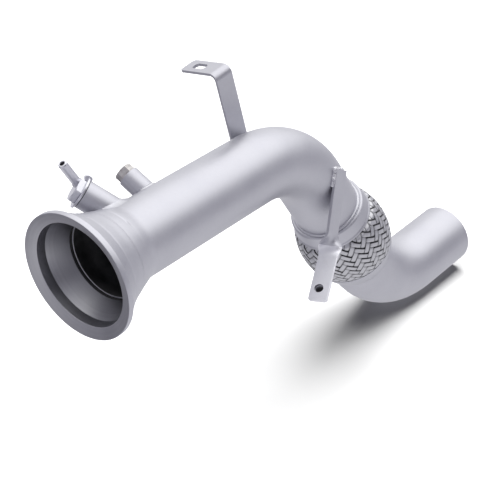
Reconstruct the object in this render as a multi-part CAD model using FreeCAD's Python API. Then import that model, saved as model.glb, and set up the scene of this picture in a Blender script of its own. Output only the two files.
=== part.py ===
import FreeCAD, Part
import math
import os

from FreeCAD import Placement, Rotation, Vector

# Turbo downpipe of a car engine, in millimetres.
# The frame has its origin at the centre of the inlet flange's front, +X along the flange's
# axis into the pipe and +Z up. The pipe bends down, passes a flexible section and turns
# level again, with its outlet nearly parallel to the inlet.

# Tube run
tube_diameter = 70.0
tube_wall = 1.5
bend_radius = 107.0
first_corner = Vector(294.0, -4.3, -10.0)
second_corner = Vector(427.0, -35.0, -246.0)
outlet_end = Vector(560.5, -42.8, -240.9)

# Swaged mouth of the main pipe, seated in the flange's socket
mouth_step = 4.65
mouth_end = 46.0
swage_end = 62.0
socket_clearance = 0.1
pivot_station = 42.0

# Inlet flange, turned from one blank; its steps are measured out from the pipe's mouth
flange_lip_radius = 60.9
flange_lip_width = 5.5
flange_lip_chamfer = 0.5
flange_flare_step = 10.15
flange_flare_end = 22.0
flange_waist_step = 6.35
flange_waist_station = 30.0
flange_neck_step = 3.75
flange_length = 38.5
face_inner_step = 10.25
face_depth = 3.7
band_end_step = 9.55
band_end = 13.0
throat_step = -0.45
throat_end = 33.1
groove_step = 0.95
groove_end = 36.0
flange_weld_leg = 6.5
flange_weld_crown = 1.9
flange_weld_crown_share = 0.4
flange_weld_inset = 0.3

# Flexible section: stations run along the middle leg from the first corner, and rises are
# measured out from the tube
collar_start = 106.2
collar_neck_length = 3.0
collar_start_rise = 5.0
collar_rim_rise = 7.6
collar_rim_station = 124.8
collar_rim_roll = 1.2
collar_rim_ease = 0.48
collar_wall = 1.5
collar_chamfer = 1.5
crimp_inner_rise = 2.3
braid_tail = 6.5
braid_tail_gap = 0.5
braid_end_station = 182.0
braid_wall = 1.4
braid_bulge = 9.9
braid_bulge_power = 0.8
braid_ridge_height = 0.5
braid_ridges = 8
gaps_per_valley = 14
gap_length = 5.6
gap_width = 1.1
gap_slant = 38.0
flex_end_rise = 2.6
flex_end_station = 204.5
rear_neck_length = 3.0
rear_collar_steps = 6
crimp_clearance = 0.1
pipe_end_station = 116.0
elbow_start_station = 194.0
bellows_cuff_overlap = 6.0
bellows_cuff_play = 0.1
bellows_wall = 0.6
bellows_root_rise = 1.6
bellows_crest_rise = 6.4
bellows_flank = 0.2
bellows_lead = 1.0
bellows_turns = 9
bellows_start = 128.0
bellows_end = 182.0
liner_wall = 1.0
liner_start = 109.0
liner_end = 198.0
liner_clearance = 0.1
collar_weld_radius = 2.4
rear_weld_radius = 1.8

# Pressure take-off on the upper far side
boss_foot_station = 69.62
boss_around = 50.7
boss_lean = 29.1
boss_diameter = 27.0
boss_bore = 18.0
boss_rise = 33.0
boss_weld_radius = 3.4
washer_thickness = 2.0
washer_diameter = 31.0
washer_tab_radius = 4.0
washer_tab_reach = 13.9
washer_tab_width = 5.0
washer_tab_sink = 0.5
washer_tab_clock = -38.4
hex_across_flats = 22.0
hex_height = 6.0
hex_clock = -128.4
hex_corner_chamfer = 1.2
hex_face_inset = 0.3
shank_length = 12.0
shank_clearance = 0.1
passage_diameter = 7.0
passage_floor = 3.0
hose_tube_diameter = 8.5
hose_tube_bore = 4.4
hose_tube_length = 28.5
hose_tube_lean = 39.2
hose_tube_lean_clock = -103.0
hose_root_offset = 5.9
hose_root_clock = -48.1
hose_tube_seat = 2.0
hose_drill_depth = 9.0

# Sensor bung with its blanking plug
bung_foot_station = 118.75
bung_around = 59.5
bung_lean = 7.4
bung_diameter = 21.0
bung_bore = 12.4
bung_rise = 20.8
bung_weld_radius = 1.9
bead_step = 15
plug_across_flats = 16.0
plug_head = 7.6
plug_corner_chamfer = 1.1
plug_clock = -102.3
plug_shank_length = 12.0
plug_clearance = 0.1

# Upper bracket, an L of flat strap on the far side of the bend; its seat on the pipe is
# given by the turn along the bend and the angle round the tube from the bend's outside
strap_width = 20.0
strap_thickness = 3.0
strap_corner_round = 3.0
upper_seat_turn = 14.0
upper_seat_around = 72.0
upper_seat_to_corner = Vector(-19.9, 6.7, 89.8)
upper_turns = (-8.6, -12.3, -3.2)
upper_leg = 99.0
upper_tab = 58.0
upper_fold_droop = 14.8
upper_fold_radius = 7.5
slot_width = 8.4
slot_length = 19.5
slot_reach = 37.0
upper_fold_steps = 3
upper_weld_radius = 2.6

# Lower bracket, a twisted strap on the near side of the bend
lower_seat_turn = 55.0
lower_seat_around = -81.0
lower_seat_to_strap = Vector(0.3, -2.9, 0.9)
lower_strap_turns = (-1.2, 30.1, -13.3)
lower_strap_rise = 12.0
lower_strap_drop = 50.0
strap_to_foot = Vector(-40.4, -15.2, -64.1)
foot_turns = (-71.3, -7.2, -62.1)
foot_length = 48.0
foot_hole_diameter = 9.0
foot_hole_reach = 34.2
foot_hole_offset = -1.2
bush_diameter = 13.0
bush_length = 9.0
bush_bore = 8.0
bush_floor = 1.5
twist_spread = 2.0
twist_pull = 0.45
twist_steps = 6
lower_weld_radius = 2.2
lower_weld_drop = 4.0
lower_weld_gap = 4.0

# How far cutters run past what they cut, and how near two points count as one
overshoot = 1.0
spanner_room = 20.0
coincident = 1e-6

tube_radius = tube_diameter / 2
tube_bore = tube_radius - tube_wall
mouth_radius = tube_radius + mouth_step
collar_rim_radius = tube_radius + collar_rim_rise
flex_end_radius = tube_radius + flex_end_rise
boss_height = tube_radius + boss_rise
bung_height = tube_radius + bung_rise
hex_corner_radius = hex_across_flats / math.sqrt(3)
x_axis = Vector(1, 0, 0)
z_axis = Vector(0, 0, 1)
run_start = Vector(pivot_station, 0, 0)


def direction(start, end):
    """Unit vector from one point to another."""
    return (end - start).normalize()


first_leg = direction(run_start, first_corner)
middle_leg = direction(first_corner, second_corner)


def on_middle_leg(station):
    """Point on the middle leg, measured from the first corner."""
    return first_corner + middle_leg * station


def bend_arc(corner, way_in, way_out):
    """Arc that rounds a corner of the centre line, with its two ends."""
    turn = way_in.getAngle(way_out)
    reach = bend_radius * math.tan(turn / 2)
    start = corner - way_in * reach
    end = corner + way_out * reach
    to_centre = (way_out - way_in).normalize()
    middle = corner + to_centre * (bend_radius / math.cos(turn / 2) - bend_radius)
    return Part.Arc(start, middle, end).toShape(), start, end


def bend_seat(turn, around):
    """Point on the main pipe's outside at the first bend, by turn and angle round the tube."""
    start = bend_arc(first_corner, first_leg, middle_leg)[1]
    side = first_leg.cross(middle_leg).normalize()
    outward = side.cross(first_leg) * -1
    centre = start - outward * bend_radius
    away = Rotation(side, turn).multVec(outward)
    lean = math.radians(around)
    round_the_tube = away * math.cos(lean) + side * math.sin(lean)
    return centre + away * bend_radius + round_the_tube * tube_radius


upper_corner = bend_seat(upper_seat_turn, upper_seat_around) + upper_seat_to_corner
lower_strap_point = bend_seat(lower_seat_turn, lower_seat_around) + lower_seat_to_strap
foot_point = lower_strap_point + strap_to_foot


def bent_run(start, corner, end, radius):
    """Solid round bar along a line, a bend and a line."""
    way_in = direction(start, corner)
    way_out = direction(corner, end)
    arc, arc_start, arc_end = bend_arc(corner, way_in, way_out)
    lead = Part.makeLine(start, arc_start)
    tail = Part.makeLine(arc_end, end)
    path = Part.Wire([lead, arc, tail])
    section = Part.Wire([Part.makeCircle(radius, start, way_in)])
    return path.makePipeShell([section], True, False)


def turned(profile, origin, axis):
    """Ring or solid turned about an axis from points given as station and radius."""
    points = [Vector(radius, 0, station) for station, radius in profile]
    face = Part.Face(Part.makePolygon(points + points[:1]))
    solid = face.revolve(Vector(0, 0, 0), z_axis, 360)
    solid.Placement = Placement(origin, Rotation(z_axis, axis))
    return solid


def rod(origin, axis, start, end, radius):
    """Cylinder along an axis between two stations."""
    return Part.makeCylinder(radius, end - start, origin + axis * start, axis)


def flange():
    """Inlet flange with its lip, dished face, conical throat and rear socket."""
    socket = mouth_radius + socket_clearance
    front = [
        (0.0, flange_lip_radius - flange_lip_chamfer),
        (flange_lip_chamfer, flange_lip_radius),
        (flange_lip_width, flange_lip_radius),
        (flange_flare_end, mouth_radius + flange_flare_step),
    ]
    back = [
        (flange_length, socket),
        (groove_end, socket),
        (groove_end, mouth_radius + groove_step),
        (throat_end, mouth_radius + groove_step),
        (throat_end, mouth_radius + throat_step),
        (band_end, mouth_radius + band_end_step),
        (face_depth, mouth_radius + face_inner_step),
        (0.0, flange_lip_radius - flange_lip_chamfer),
    ]
    first = [Vector(station, 0, radius) for station, radius in front]
    last = [Vector(station, 0, radius) for station, radius in back]
    neck = Vector(flange_length, 0, mouth_radius + flange_neck_step)
    waist = Vector(flange_waist_station, 0, mouth_radius + flange_waist_step)
    edges = Part.makePolygon(first).Edges
    edges.append(Part.Arc(first[-1], waist, neck).toShape())
    edges.extend(Part.makePolygon([neck] + last).Edges)
    return Part.Face(Part.Wire(edges)).revolve(Vector(0, 0, 0), x_axis, 360)


def pipe_body(inset):
    """Main pipe's round body, with its swaged mouth, drawn in by an inset."""
    swage = run_start + first_leg * (swage_end - pivot_station)
    straight = rod(Vector(0, 0, 0), x_axis, groove_end, mouth_end, mouth_radius - inset)
    wide = Part.makeCircle(mouth_radius - inset, x_axis * mouth_end, x_axis)
    narrow = Part.makeCircle(tube_radius - inset, swage, first_leg)
    taper = Part.makeLoft([Part.Wire([wide]), Part.Wire([narrow])], True, True)
    run = bent_run(swage, first_corner, on_middle_leg(pipe_end_station), tube_radius - inset)
    return straight.fuse([taper, run])


def elbow_body(inset):
    """Outlet elbow's round body, drawn in by an inset."""
    start = on_middle_leg(elbow_start_station)
    return bent_run(start, second_corner, outlet_end, tube_radius - inset)


def barrel_radius(station):
    """Outside radius of the flexible section between its front rim and its rear end."""
    share = (station - collar_rim_station) / (flex_end_station - collar_rim_station)
    share = min(max(share, 0.0), 1.0)
    level = collar_rim_radius + (flex_end_radius - collar_rim_radius) * share
    return level + braid_bulge * math.sin(math.pi * share) ** braid_bulge_power


def crimp_slope(station):
    """Inside radius of the front collar, which the braid's front tail follows."""
    start = collar_start + collar_neck_length
    share = (station - start) / (collar_rim_station - start)
    end_radius = collar_rim_radius - collar_wall
    inner_radius = tube_radius + crimp_inner_rise
    return inner_radius + (end_radius - inner_radius) * share


def front_collar():
    """Front collar, a cup with a neck on the pipe and a rolled rim over the braid."""
    cavity = collar_start + collar_neck_length
    shoulder = tube_radius + collar_start_rise
    profile = [
        (collar_start, tube_radius),
        (collar_start, shoulder - collar_chamfer),
        (collar_start + collar_chamfer, shoulder),
        (collar_rim_station - 2 * collar_rim_roll, collar_rim_radius - collar_rim_ease),
        (collar_rim_station - collar_rim_roll, collar_rim_radius),
        (collar_rim_station, collar_rim_radius - collar_rim_ease),
        (collar_rim_station, crimp_slope(collar_rim_station)),
        (cavity, crimp_slope(cavity)),
        (cavity, tube_radius),
    ]
    return turned(profile, first_corner, middle_leg)


def rear_collar():
    """Rear collar, a bell that holds the braid's end and necks down to the elbow."""
    pitch = (flex_end_station - braid_end_station) / rear_collar_steps
    stations = [braid_end_station + pitch * i for i in range(rear_collar_steps)]
    outer = [(station, barrel_radius(station)) for station in stations]
    outer.append((flex_end_station, flex_end_radius))
    neck = flex_end_station - rear_neck_length
    inner = [(neck, tube_radius)]
    for station, radius in reversed(outer[:-1]):
        inner.append((station, radius - collar_wall))
    profile = outer + [(flex_end_station, tube_radius)] + inner
    return turned(profile, first_corner, middle_leg)


def braid_gap(station, around, slant):
    """Cutter for one gap of the weave."""
    reach = barrel_radius(station)
    box = Part.makeBox(gap_length, gap_width, 3 * braid_wall)
    box.translate(Vector(-gap_length / 2, -gap_width / 2, -2 * braid_wall))
    box.rotate(Vector(0, 0, 0), z_axis, slant)
    box.rotate(Vector(0, 0, 0), Vector(0, 1, 0), 90)
    box.translate(Vector(reach, 0, station))
    box.rotate(Vector(0, 0, 0), z_axis, around)
    box.Placement = Placement(first_corner, Rotation(z_axis, middle_leg)) * box.Placement
    return box


def braid():
    """Braid as one barrel wall, with a ridge for each band of the weave and its gaps."""
    pitch = (braid_end_station - collar_rim_station) / braid_ridges
    tail_start = collar_start + collar_neck_length + braid_tail_gap
    outer = [
        (tail_start, crimp_slope(tail_start) - crimp_clearance),
        (collar_rim_station, crimp_slope(collar_rim_station) - crimp_clearance),
    ]
    for i in range(braid_ridges):
        crest = collar_rim_station + pitch * (i + 0.5)
        valley = collar_rim_station + pitch * (i + 1)
        outer.append((crest, barrel_radius(crest)))
        if i < braid_ridges - 1:
            outer.append((valley, barrel_radius(valley) - braid_ridge_height))
    tucked = collar_wall + crimp_clearance
    edge = braid_end_station - crimp_clearance
    tail_end = braid_end_station + braid_tail
    outer.append((edge, barrel_radius(edge) - braid_ridge_height))
    outer.append((edge, barrel_radius(edge) - tucked))
    outer.append((tail_end, barrel_radius(tail_end) - tucked))
    inner = [(station, radius - braid_wall) for station, radius in outer]
    inner[-3:] = [(edge, inner[-2][1]), inner[-1]]
    wall = turned(outer + inner[::-1], first_corner, middle_leg)
    cutters = []
    for row in range(braid_ridges - 1):
        station = collar_rim_station + pitch * (row + 1)
        slant = gap_slant if row % 2 else -gap_slant
        for i in range(gaps_per_valley):
            around = 360.0 * (i + 0.5 * (row % 2)) / gaps_per_valley
            cutters.append(braid_gap(station, around, slant))
    return wall.cut(Part.makeCompound(cutters))


def bellows():
    """Gas-tight bellows inside the braid, with a cuff over each tube end."""
    cuff = tube_radius + bellows_cuff_play
    pitch = (bellows_end - bellows_start) / bellows_turns
    flank = pitch * bellows_flank
    root = tube_radius + bellows_root_rise
    crest = tube_radius + bellows_crest_rise
    line = [(pipe_end_station - bellows_cuff_overlap, cuff), (bellows_start - bellows_lead, cuff)]
    for i in range(bellows_turns):
        rise = bellows_start + pitch * i + flank / 2
        fall = bellows_start + pitch * (i + 1) - flank / 2
        line.extend([(rise, root), (rise + flank, crest), (fall - flank, crest), (fall, root)])
    line.append((bellows_end + bellows_lead, cuff))
    line.append((elbow_start_station + bellows_cuff_overlap, cuff))
    outer = [(station, radius + bellows_wall) for station, radius in line]
    return turned(line + outer[::-1], first_corner, middle_leg)


def liner():
    """Sleeve that guides the gas past the bellows."""
    outer = tube_bore - liner_clearance
    shell = rod(first_corner, middle_leg, liner_start, liner_end, outer)
    return shell.cut(rod(first_corner, middle_leg, liner_start, liner_end, outer - liner_wall))


def side_axis(foot_station, around, lean):
    """Origin on the main pipe's axis and outward axis of a boss, from its foot's station."""
    up = (z_axis - first_leg * z_axis.dot(first_leg)).normalize()
    far = up.cross(first_leg)
    turn = math.radians(around)
    tilt = math.radians(lean)
    out = up * math.cos(turn) + far * math.sin(turn)
    axis = out * math.cos(tilt) - first_leg * math.sin(tilt)
    station = foot_station + tube_radius * math.tan(tilt)
    return run_start + first_leg * (station - pivot_station), axis


def clock_direction(axis, clock):
    """Direction across an axis, at a clock angle from the pipe's run."""
    along = (first_leg - axis * first_leg.dot(axis)).normalize()
    turn = math.radians(clock)
    return along * math.cos(turn) + axis.cross(along) * math.sin(turn)


def hexagon(origin, axis, clock, across, start, height, chamfer):
    """Hexagonal head with its outer corners turned down."""
    corner = across / math.sqrt(3)
    base = origin + axis * start
    points = [base + clock_direction(axis, clock + 60 * i) * corner for i in range(7)]
    head = Part.Face(Part.makePolygon(points)).extrude(axis * height)
    top = start + height
    flat = across / 2 - hex_face_inset
    cone = [
        (start, 0.0), (start, corner + overshoot), (top - chamfer, corner), (top, flat),
        (top, 0.0),
    ]
    return head.common(turned(cone, origin, axis))


def saddle_point(origin, axis, radius, clock):
    """Point where a boss's side line at a clock angle meets the main pipe's outside."""
    start = origin + clock_direction(axis, clock) * radius
    # The line start + t * axis meets the pipe where its distance to the run is the radius.
    side = (start - run_start) - first_leg * (start - run_start).dot(first_leg)
    slope = axis - first_leg * axis.dot(first_leg)
    a = slope.dot(slope)
    b = side.dot(slope)
    c = side.dot(side) - tube_radius ** 2
    return start + axis * ((-b + math.sqrt(b * b - a * c)) / a)


def saddle_bead(origin, axis, radius, bead):
    """Round weld bead along the curve where a boss meets the main pipe, in two halves."""
    clocks = range(0, 360, bead_step)
    points = [saddle_point(origin, axis, radius, clock) for clock in clocks]
    curve = Part.BSplineCurve()
    curve.interpolate(Points=points, PeriodicFlag=True)
    first = curve.FirstParameter
    middle = (curve.FirstParameter + curve.LastParameter) / 2
    halves = []
    for start, end in ((first, middle), (middle, curve.LastParameter)):
        path = Part.Wire([curve.toShape(start, end)])
        circle = Part.makeCircle(bead, curve.value(start), curve.tangent(start)[0])
        halves.append(path.makePipeShell([Part.Wire([circle])], True, False))
    return halves[0].fuse(halves[1])


def hose_root(origin, axis):
    """Root point and outward axis of the hose tube on the fitting's end face."""
    face = boss_height + washer_thickness + hex_height
    offset = clock_direction(axis, hose_root_clock) * hose_root_offset
    tilt = math.radians(hose_tube_lean)
    lean = clock_direction(axis, hose_tube_lean_clock)
    return origin + axis * face + offset, axis * math.cos(tilt) + lean * math.sin(tilt)


def pressure_boss(origin, axis, pipe_outer):
    """Stub tube coped to the pipe."""
    stub = rod(origin, axis, 0, boss_height, boss_diameter / 2)
    bored = stub.cut(rod(origin, axis, -overshoot, boss_height + overshoot, boss_bore / 2))
    return bored.cut(pipe_outer)


def pressure_washer(origin, axis):
    """Sealing washer with one tab turned up against the hexagon."""
    start = boss_height
    end = start + washer_thickness
    disc = rod(origin, axis, start, end, washer_diameter / 2)
    out = clock_direction(axis, washer_tab_clock)
    across = axis.cross(out)
    tab_middle = origin + axis * (end - washer_tab_sink) + out * washer_tab_reach
    tab_start = tab_middle - across * washer_tab_width / 2
    tab = Part.makeCylinder(washer_tab_radius, washer_tab_width, tab_start, across)
    hex_room = rod(origin, axis, end, end + spanner_room, hex_corner_radius + shank_clearance)
    stub_radius = boss_diameter / 2 + shank_clearance
    stub_room = rod(origin, axis, start - spanner_room, start, stub_radius)
    tab = tab.cut(hex_room).cut(stub_room)
    hole_radius = boss_bore / 2 + shank_clearance
    hole = rod(origin, axis, start - overshoot, end + overshoot, hole_radius)
    return disc.fuse(tab).cut(hole)


def pressure_fitting(origin, axis):
    """Hexagonal fitting with its shank and gas passage."""
    start = boss_height + washer_thickness
    head = hexagon(
        origin, axis, hex_clock, hex_across_flats, start, hex_height, hex_corner_chamfer,
    )
    shank = boss_bore / 2 - shank_clearance
    body = head.fuse(rod(origin, axis, start - shank_length, start, shank))
    inner_end = start - shank_length - overshoot
    floor = start + hex_height - passage_floor
    body = body.cut(rod(origin, axis, inner_end, floor, passage_diameter / 2))
    root, lean_axis = hose_root(origin, axis)
    seat_radius = hose_tube_diameter / 2 + shank_clearance
    seat = rod(root, lean_axis, -hose_tube_seat, spanner_room, seat_radius)
    drill = rod(root, lean_axis, -hose_drill_depth, 0, hose_tube_bore / 2)
    return body.cut(seat).cut(drill)


def hose_tube(origin, axis):
    """Hose tube brazed at a lean into the fitting's end."""
    root, lean_axis = hose_root(origin, axis)
    tube = rod(root, lean_axis, -hose_tube_seat, hose_tube_length, hose_tube_diameter / 2)
    start = -hose_tube_seat - overshoot
    return tube.cut(rod(root, lean_axis, start, hose_tube_length + overshoot, hose_tube_bore / 2))


def sensor_bung(origin, axis, pipe_outer):
    """Bored bung coped to the pipe."""
    body = rod(origin, axis, 0, bung_height, bung_diameter / 2)
    body = body.cut(rod(origin, axis, -overshoot, bung_height + overshoot, bung_bore / 2))
    return body.cut(pipe_outer)


def bung_plug(origin, axis):
    """Hexagonal blanking plug, its head seated on the bung."""
    head = hexagon(
        origin, axis, plug_clock, plug_across_flats, bung_height, plug_head,
        plug_corner_chamfer,
    )
    shank = bung_bore / 2 - plug_clearance
    return head.fuse(rod(origin, axis, bung_height - plug_shank_length, bung_height, shank))


def rounded_end(width, length, thickness):
    """Flat strap along +Y with two rounded corners at its far end."""
    plate = Part.makeBox(width, length, thickness, Vector(-width / 2, 0, 0))
    corners = []
    for edge in plate.Edges:
        middle = edge.CenterOfMass
        upright = abs(middle.z - thickness / 2) < coincident
        if upright and abs(middle.y - length) < coincident:
            corners.append(edge)
    return plate.makeFillet(strap_corner_round, corners)


def upper_bracket(pipe_outer):
    """Folded strap with a slotted tab, its foot coped to the pipe."""
    turn = math.radians(90 + upper_fold_droop)
    set_back = upper_fold_radius * math.tan(turn / 2)
    leg = Part.makeBox(
        strap_width, strap_thickness, upper_leg - set_back,
        Vector(-strap_width / 2, 0, -upper_leg),
    )
    tab = rounded_end(strap_width, upper_tab, strap_thickness)
    slot_straight = slot_length - slot_width
    slot_start = slot_reach - slot_straight / 2
    cut_depth = strap_thickness + 2 * overshoot
    for reach in (slot_start, slot_start + slot_straight):
        end = Part.makeCylinder(slot_width / 2, cut_depth, Vector(0, reach, -overshoot))
        tab = tab.cut(end)
    middle = Part.makeBox(
        slot_width, slot_straight, cut_depth,
        Vector(-slot_width / 2, slot_start, -overshoot),
    )
    tab = tab.cut(middle)
    stub = Part.makeBox(strap_width, set_back, strap_thickness, Vector(-strap_width / 2, 0, 0))
    tab = tab.cut(stub)
    tab.translate(Vector(0, 0, -strap_thickness))
    tab.rotate(Vector(0, 0, 0), x_axis, -upper_fold_droop)
    outer = upper_fold_radius
    inner = outer - strap_thickness
    centre = Vector(-strap_width / 2, outer, -set_back)
    curl = Part.makeCylinder(outer, strap_width, centre, x_axis)
    curl = curl.cut(Part.makeCylinder(inner, strap_width, centre, x_axis))
    wedge = [centre]
    reach = 2 * outer
    for i in range(upper_fold_steps + 1):
        way = math.pi - turn * i / upper_fold_steps
        wedge.append(centre + Vector(0, reach * math.cos(way), reach * math.sin(way)))
    room = Part.Face(Part.makePolygon(wedge + wedge[:1])).extrude(x_axis * strap_width)
    strap = leg.fuse([tab, curl.common(room)]).removeSplitter()
    strap.Placement = Placement(upper_corner, Rotation(*upper_turns))
    return strap.cut(pipe_outer)


def upper_weld(pipe_outer, strap):
    """Bead along the end of the upper bracket's leg."""
    frame = Placement(upper_corner, Rotation(*upper_turns))
    half = strap_width / 2
    start = frame.multVec(Vector(-half, strap_thickness / 2, -upper_leg))
    end = frame.multVec(Vector(half, strap_thickness / 2, -upper_leg))
    return capsule(start, end, upper_weld_radius).cut(pipe_outer).cut(strap)


def capsule(start, end, radius):
    """Rod with ball ends."""
    body = Part.makeCylinder(radius, (end - start).Length, start, end - start)
    return body.fuse([Part.makeSphere(radius, start), Part.makeSphere(radius, end)])


def strap_section(frame, half_width):
    """Cross-section of the lower strap in a frame whose Y axis points to its back."""
    corners = [
        Vector(-half_width, 0, 0), Vector(half_width, 0, 0),
        Vector(half_width, strap_thickness, 0), Vector(-half_width, strap_thickness, 0),
    ]
    points = [frame.multVec(corner) for corner in corners]
    return Part.makePolygon(points + points[:1])


def lower_bracket(pipe_outer):
    """Twisted strap: a straight upper part, a tight twist and a drilled foot."""
    upper = Placement(lower_strap_point, Rotation(*lower_strap_turns))
    foot = Placement(foot_point, Rotation(*foot_turns))
    length = lower_strap_rise + lower_strap_drop
    strap = Part.makeBox(
        strap_width, strap_thickness, length,
        Vector(-strap_width / 2, 0, -lower_strap_drop),
    )
    strap.Placement = upper
    plate = rounded_end(strap_width, foot_length, strap_thickness)
    hole = Vector(foot_hole_offset, foot_hole_reach, -overshoot)
    cut_depth = strap_thickness + 2 * overshoot
    plate = plate.cut(Part.makeCylinder(foot_hole_diameter / 2, cut_depth, hole))
    # The plate lies along its own Y; it is turned to hang down with its front on Y = 0.
    plate.rotate(Vector(0, 0, 0), x_axis, -90)
    plate.Placement = foot * plate.Placement
    start = upper.multVec(Vector(0, 0, -lower_strap_drop))
    end = foot_point
    pull = twist_pull * (end - start).Length
    lead = start + upper.Rotation.multVec(Vector(0, 0, -pull))
    trail = end + foot.Rotation.multVec(Vector(0, 0, pull))
    sections = []
    for i in range(twist_steps + 1):
        share = i / twist_steps
        rest = 1 - share
        point = (start * rest ** 3 + lead * (3 * share * rest ** 2)
                 + trail * (3 * share ** 2 * rest) + end * share ** 3)
        blend = share * share * (3 - 2 * share)
        rotation = upper.Rotation.slerp(foot.Rotation, blend)
        half = strap_width / 2 + twist_spread * math.sin(math.pi * share) ** 2
        sections.append(strap_section(Placement(point, rotation), half))
    twist = Part.makeLoft(sections, True, False)
    return strap.fuse([twist, plate]).cut(pipe_outer)


def foot_bush():
    """Blind bush for a bolt's thread, on the back of the foot round its hole."""
    foot = Placement(foot_point, Rotation(*foot_turns))
    back = foot.Rotation.multVec(Vector(0, 1, 0))
    seat = foot.multVec(Vector(foot_hole_offset, strap_thickness, -foot_hole_reach))
    body = rod(seat, back, 0, bush_length, bush_diameter / 2)
    return body.cut(rod(seat, back, -overshoot, bush_length - bush_floor, bush_bore / 2))


def lower_weld(pipe_outer, strap):
    """Bead down the outer edge of the lower bracket's head and across its top."""
    frame = Placement(lower_strap_point, Rotation(*lower_strap_turns))
    half = strap_width / 2
    back = strap_thickness
    top_left = frame.multVec(Vector(-half, back, lower_strap_rise))
    top_right = frame.multVec(Vector(half - lower_weld_gap, back, lower_strap_rise))
    bottom_left = frame.multVec(Vector(-half, back, -lower_weld_drop))
    bead = capsule(top_left, bottom_left, lower_weld_radius)
    bead = bead.fuse(capsule(top_left, top_right, lower_weld_radius))
    return bead.cut(pipe_outer).cut(strap)


def flange_weld(pipe_outer):
    """Fillet weld between the flange's neck and the swaged mouth."""
    crown = flange_length + flange_weld_crown_share * flange_weld_leg
    toe = flange_length + flange_weld_leg
    sunk = mouth_radius - overshoot
    profile = [
        (flange_length, sunk),
        (flange_length, mouth_radius + flange_neck_step - flange_weld_inset),
        (crown, mouth_radius + flange_weld_crown),
        (toe, mouth_radius),
        (toe, sunk),
    ]
    return turned(profile, Vector(0, 0, 0), x_axis).cut(pipe_outer)


def ring_weld(station, radius, body, collar):
    """Round bead about the middle leg, cut to the tube and the collar that it joins."""
    centre = on_middle_leg(station)
    ring = Part.makeTorus(tube_radius, radius, centre, middle_leg)
    return ring.cut(body).cut(collar)


def build():
    """Every node of the part by name."""
    pipe_outer = pipe_body(0.0)
    boss_origin, boss_axis = side_axis(boss_foot_station, boss_around, boss_lean)
    bung_origin, bung_axis = side_axis(bung_foot_station, bung_around, bung_lean)
    pipe = pipe_outer.cut(pipe_body(tube_wall))
    pipe = pipe.cut(rod(boss_origin, boss_axis, 0, boss_height, boss_bore / 2))
    pipe = pipe.cut(rod(bung_origin, bung_axis, 0, bung_height, bung_bore / 2))
    elbow_outer = elbow_body(0.0)
    boss = pressure_boss(boss_origin, boss_axis, pipe_outer)
    bung = sensor_bung(bung_origin, bung_axis, pipe_outer)
    boss_core = rod(boss_origin, boss_axis, 0, boss_height, boss_diameter / 2)
    bung_core = rod(bung_origin, bung_axis, 0, bung_height, bung_diameter / 2)
    boss_bead = saddle_bead(boss_origin, boss_axis, boss_diameter / 2, boss_weld_radius)
    bung_bead = saddle_bead(bung_origin, bung_axis, bung_diameter / 2, bung_weld_radius)
    collar = front_collar()
    bell = rear_collar()
    upper = upper_bracket(pipe_outer)
    lower = lower_bracket(pipe_outer)
    inlet = flange()
    return {
        "inlet_flange": inlet,
        "main_pipe": pipe,
        "outlet_elbow": elbow_outer.cut(elbow_body(tube_wall)),
        "flex_front_collar": collar,
        "flex_rear_collar": bell,
        "flex_braid": braid(),
        "flex_bellows": bellows(),
        "flex_liner": liner(),
        "pressure_boss": boss,
        "pressure_washer": pressure_washer(boss_origin, boss_axis),
        "pressure_fitting": pressure_fitting(boss_origin, boss_axis),
        "hose_tube": hose_tube(boss_origin, boss_axis),
        "sensor_bung": bung,
        "bung_plug": bung_plug(bung_origin, bung_axis),
        "upper_bracket": upper,
        "lower_bracket": lower,
        "foot_bush": foot_bush(),
        "flange_weld": flange_weld(pipe_outer).cut(inlet),
        "boss_weld": boss_bead.cut(pipe_outer).cut(boss_core),
        "bung_weld": bung_bead.cut(pipe_outer).cut(bung_core),
        "front_collar_weld": ring_weld(collar_start, collar_weld_radius, pipe_outer, collar),
        "rear_collar_weld": ring_weld(flex_end_station, rear_weld_radius, elbow_outer, bell),
        "upper_bracket_weld": upper_weld(pipe_outer, upper),
        "lower_bracket_weld": lower_weld(pipe_outer, lower),
    }


os.makedirs("parts", exist_ok=True)
for name, shape in build().items():
    shape.exportStep(os.path.join("parts", name + ".step"))
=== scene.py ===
"""Dress of a turbo downpipe: smooth tubes, woven wire, weld beads and satin steel finishes.

Lengths are in millimetres in the part's own frame and turn into metres when a piece is made.
The origin is the centre of the inlet flange's front, +X runs into the pipe and +Z is up.
"""
import logging
import math
from dataclasses import dataclass, field
from enum import Enum
from typing import Callable, Mapping, Sequence

import bmesh
import bpy
from mathutils import Matrix, Quaternion, Vector, noise


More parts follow.
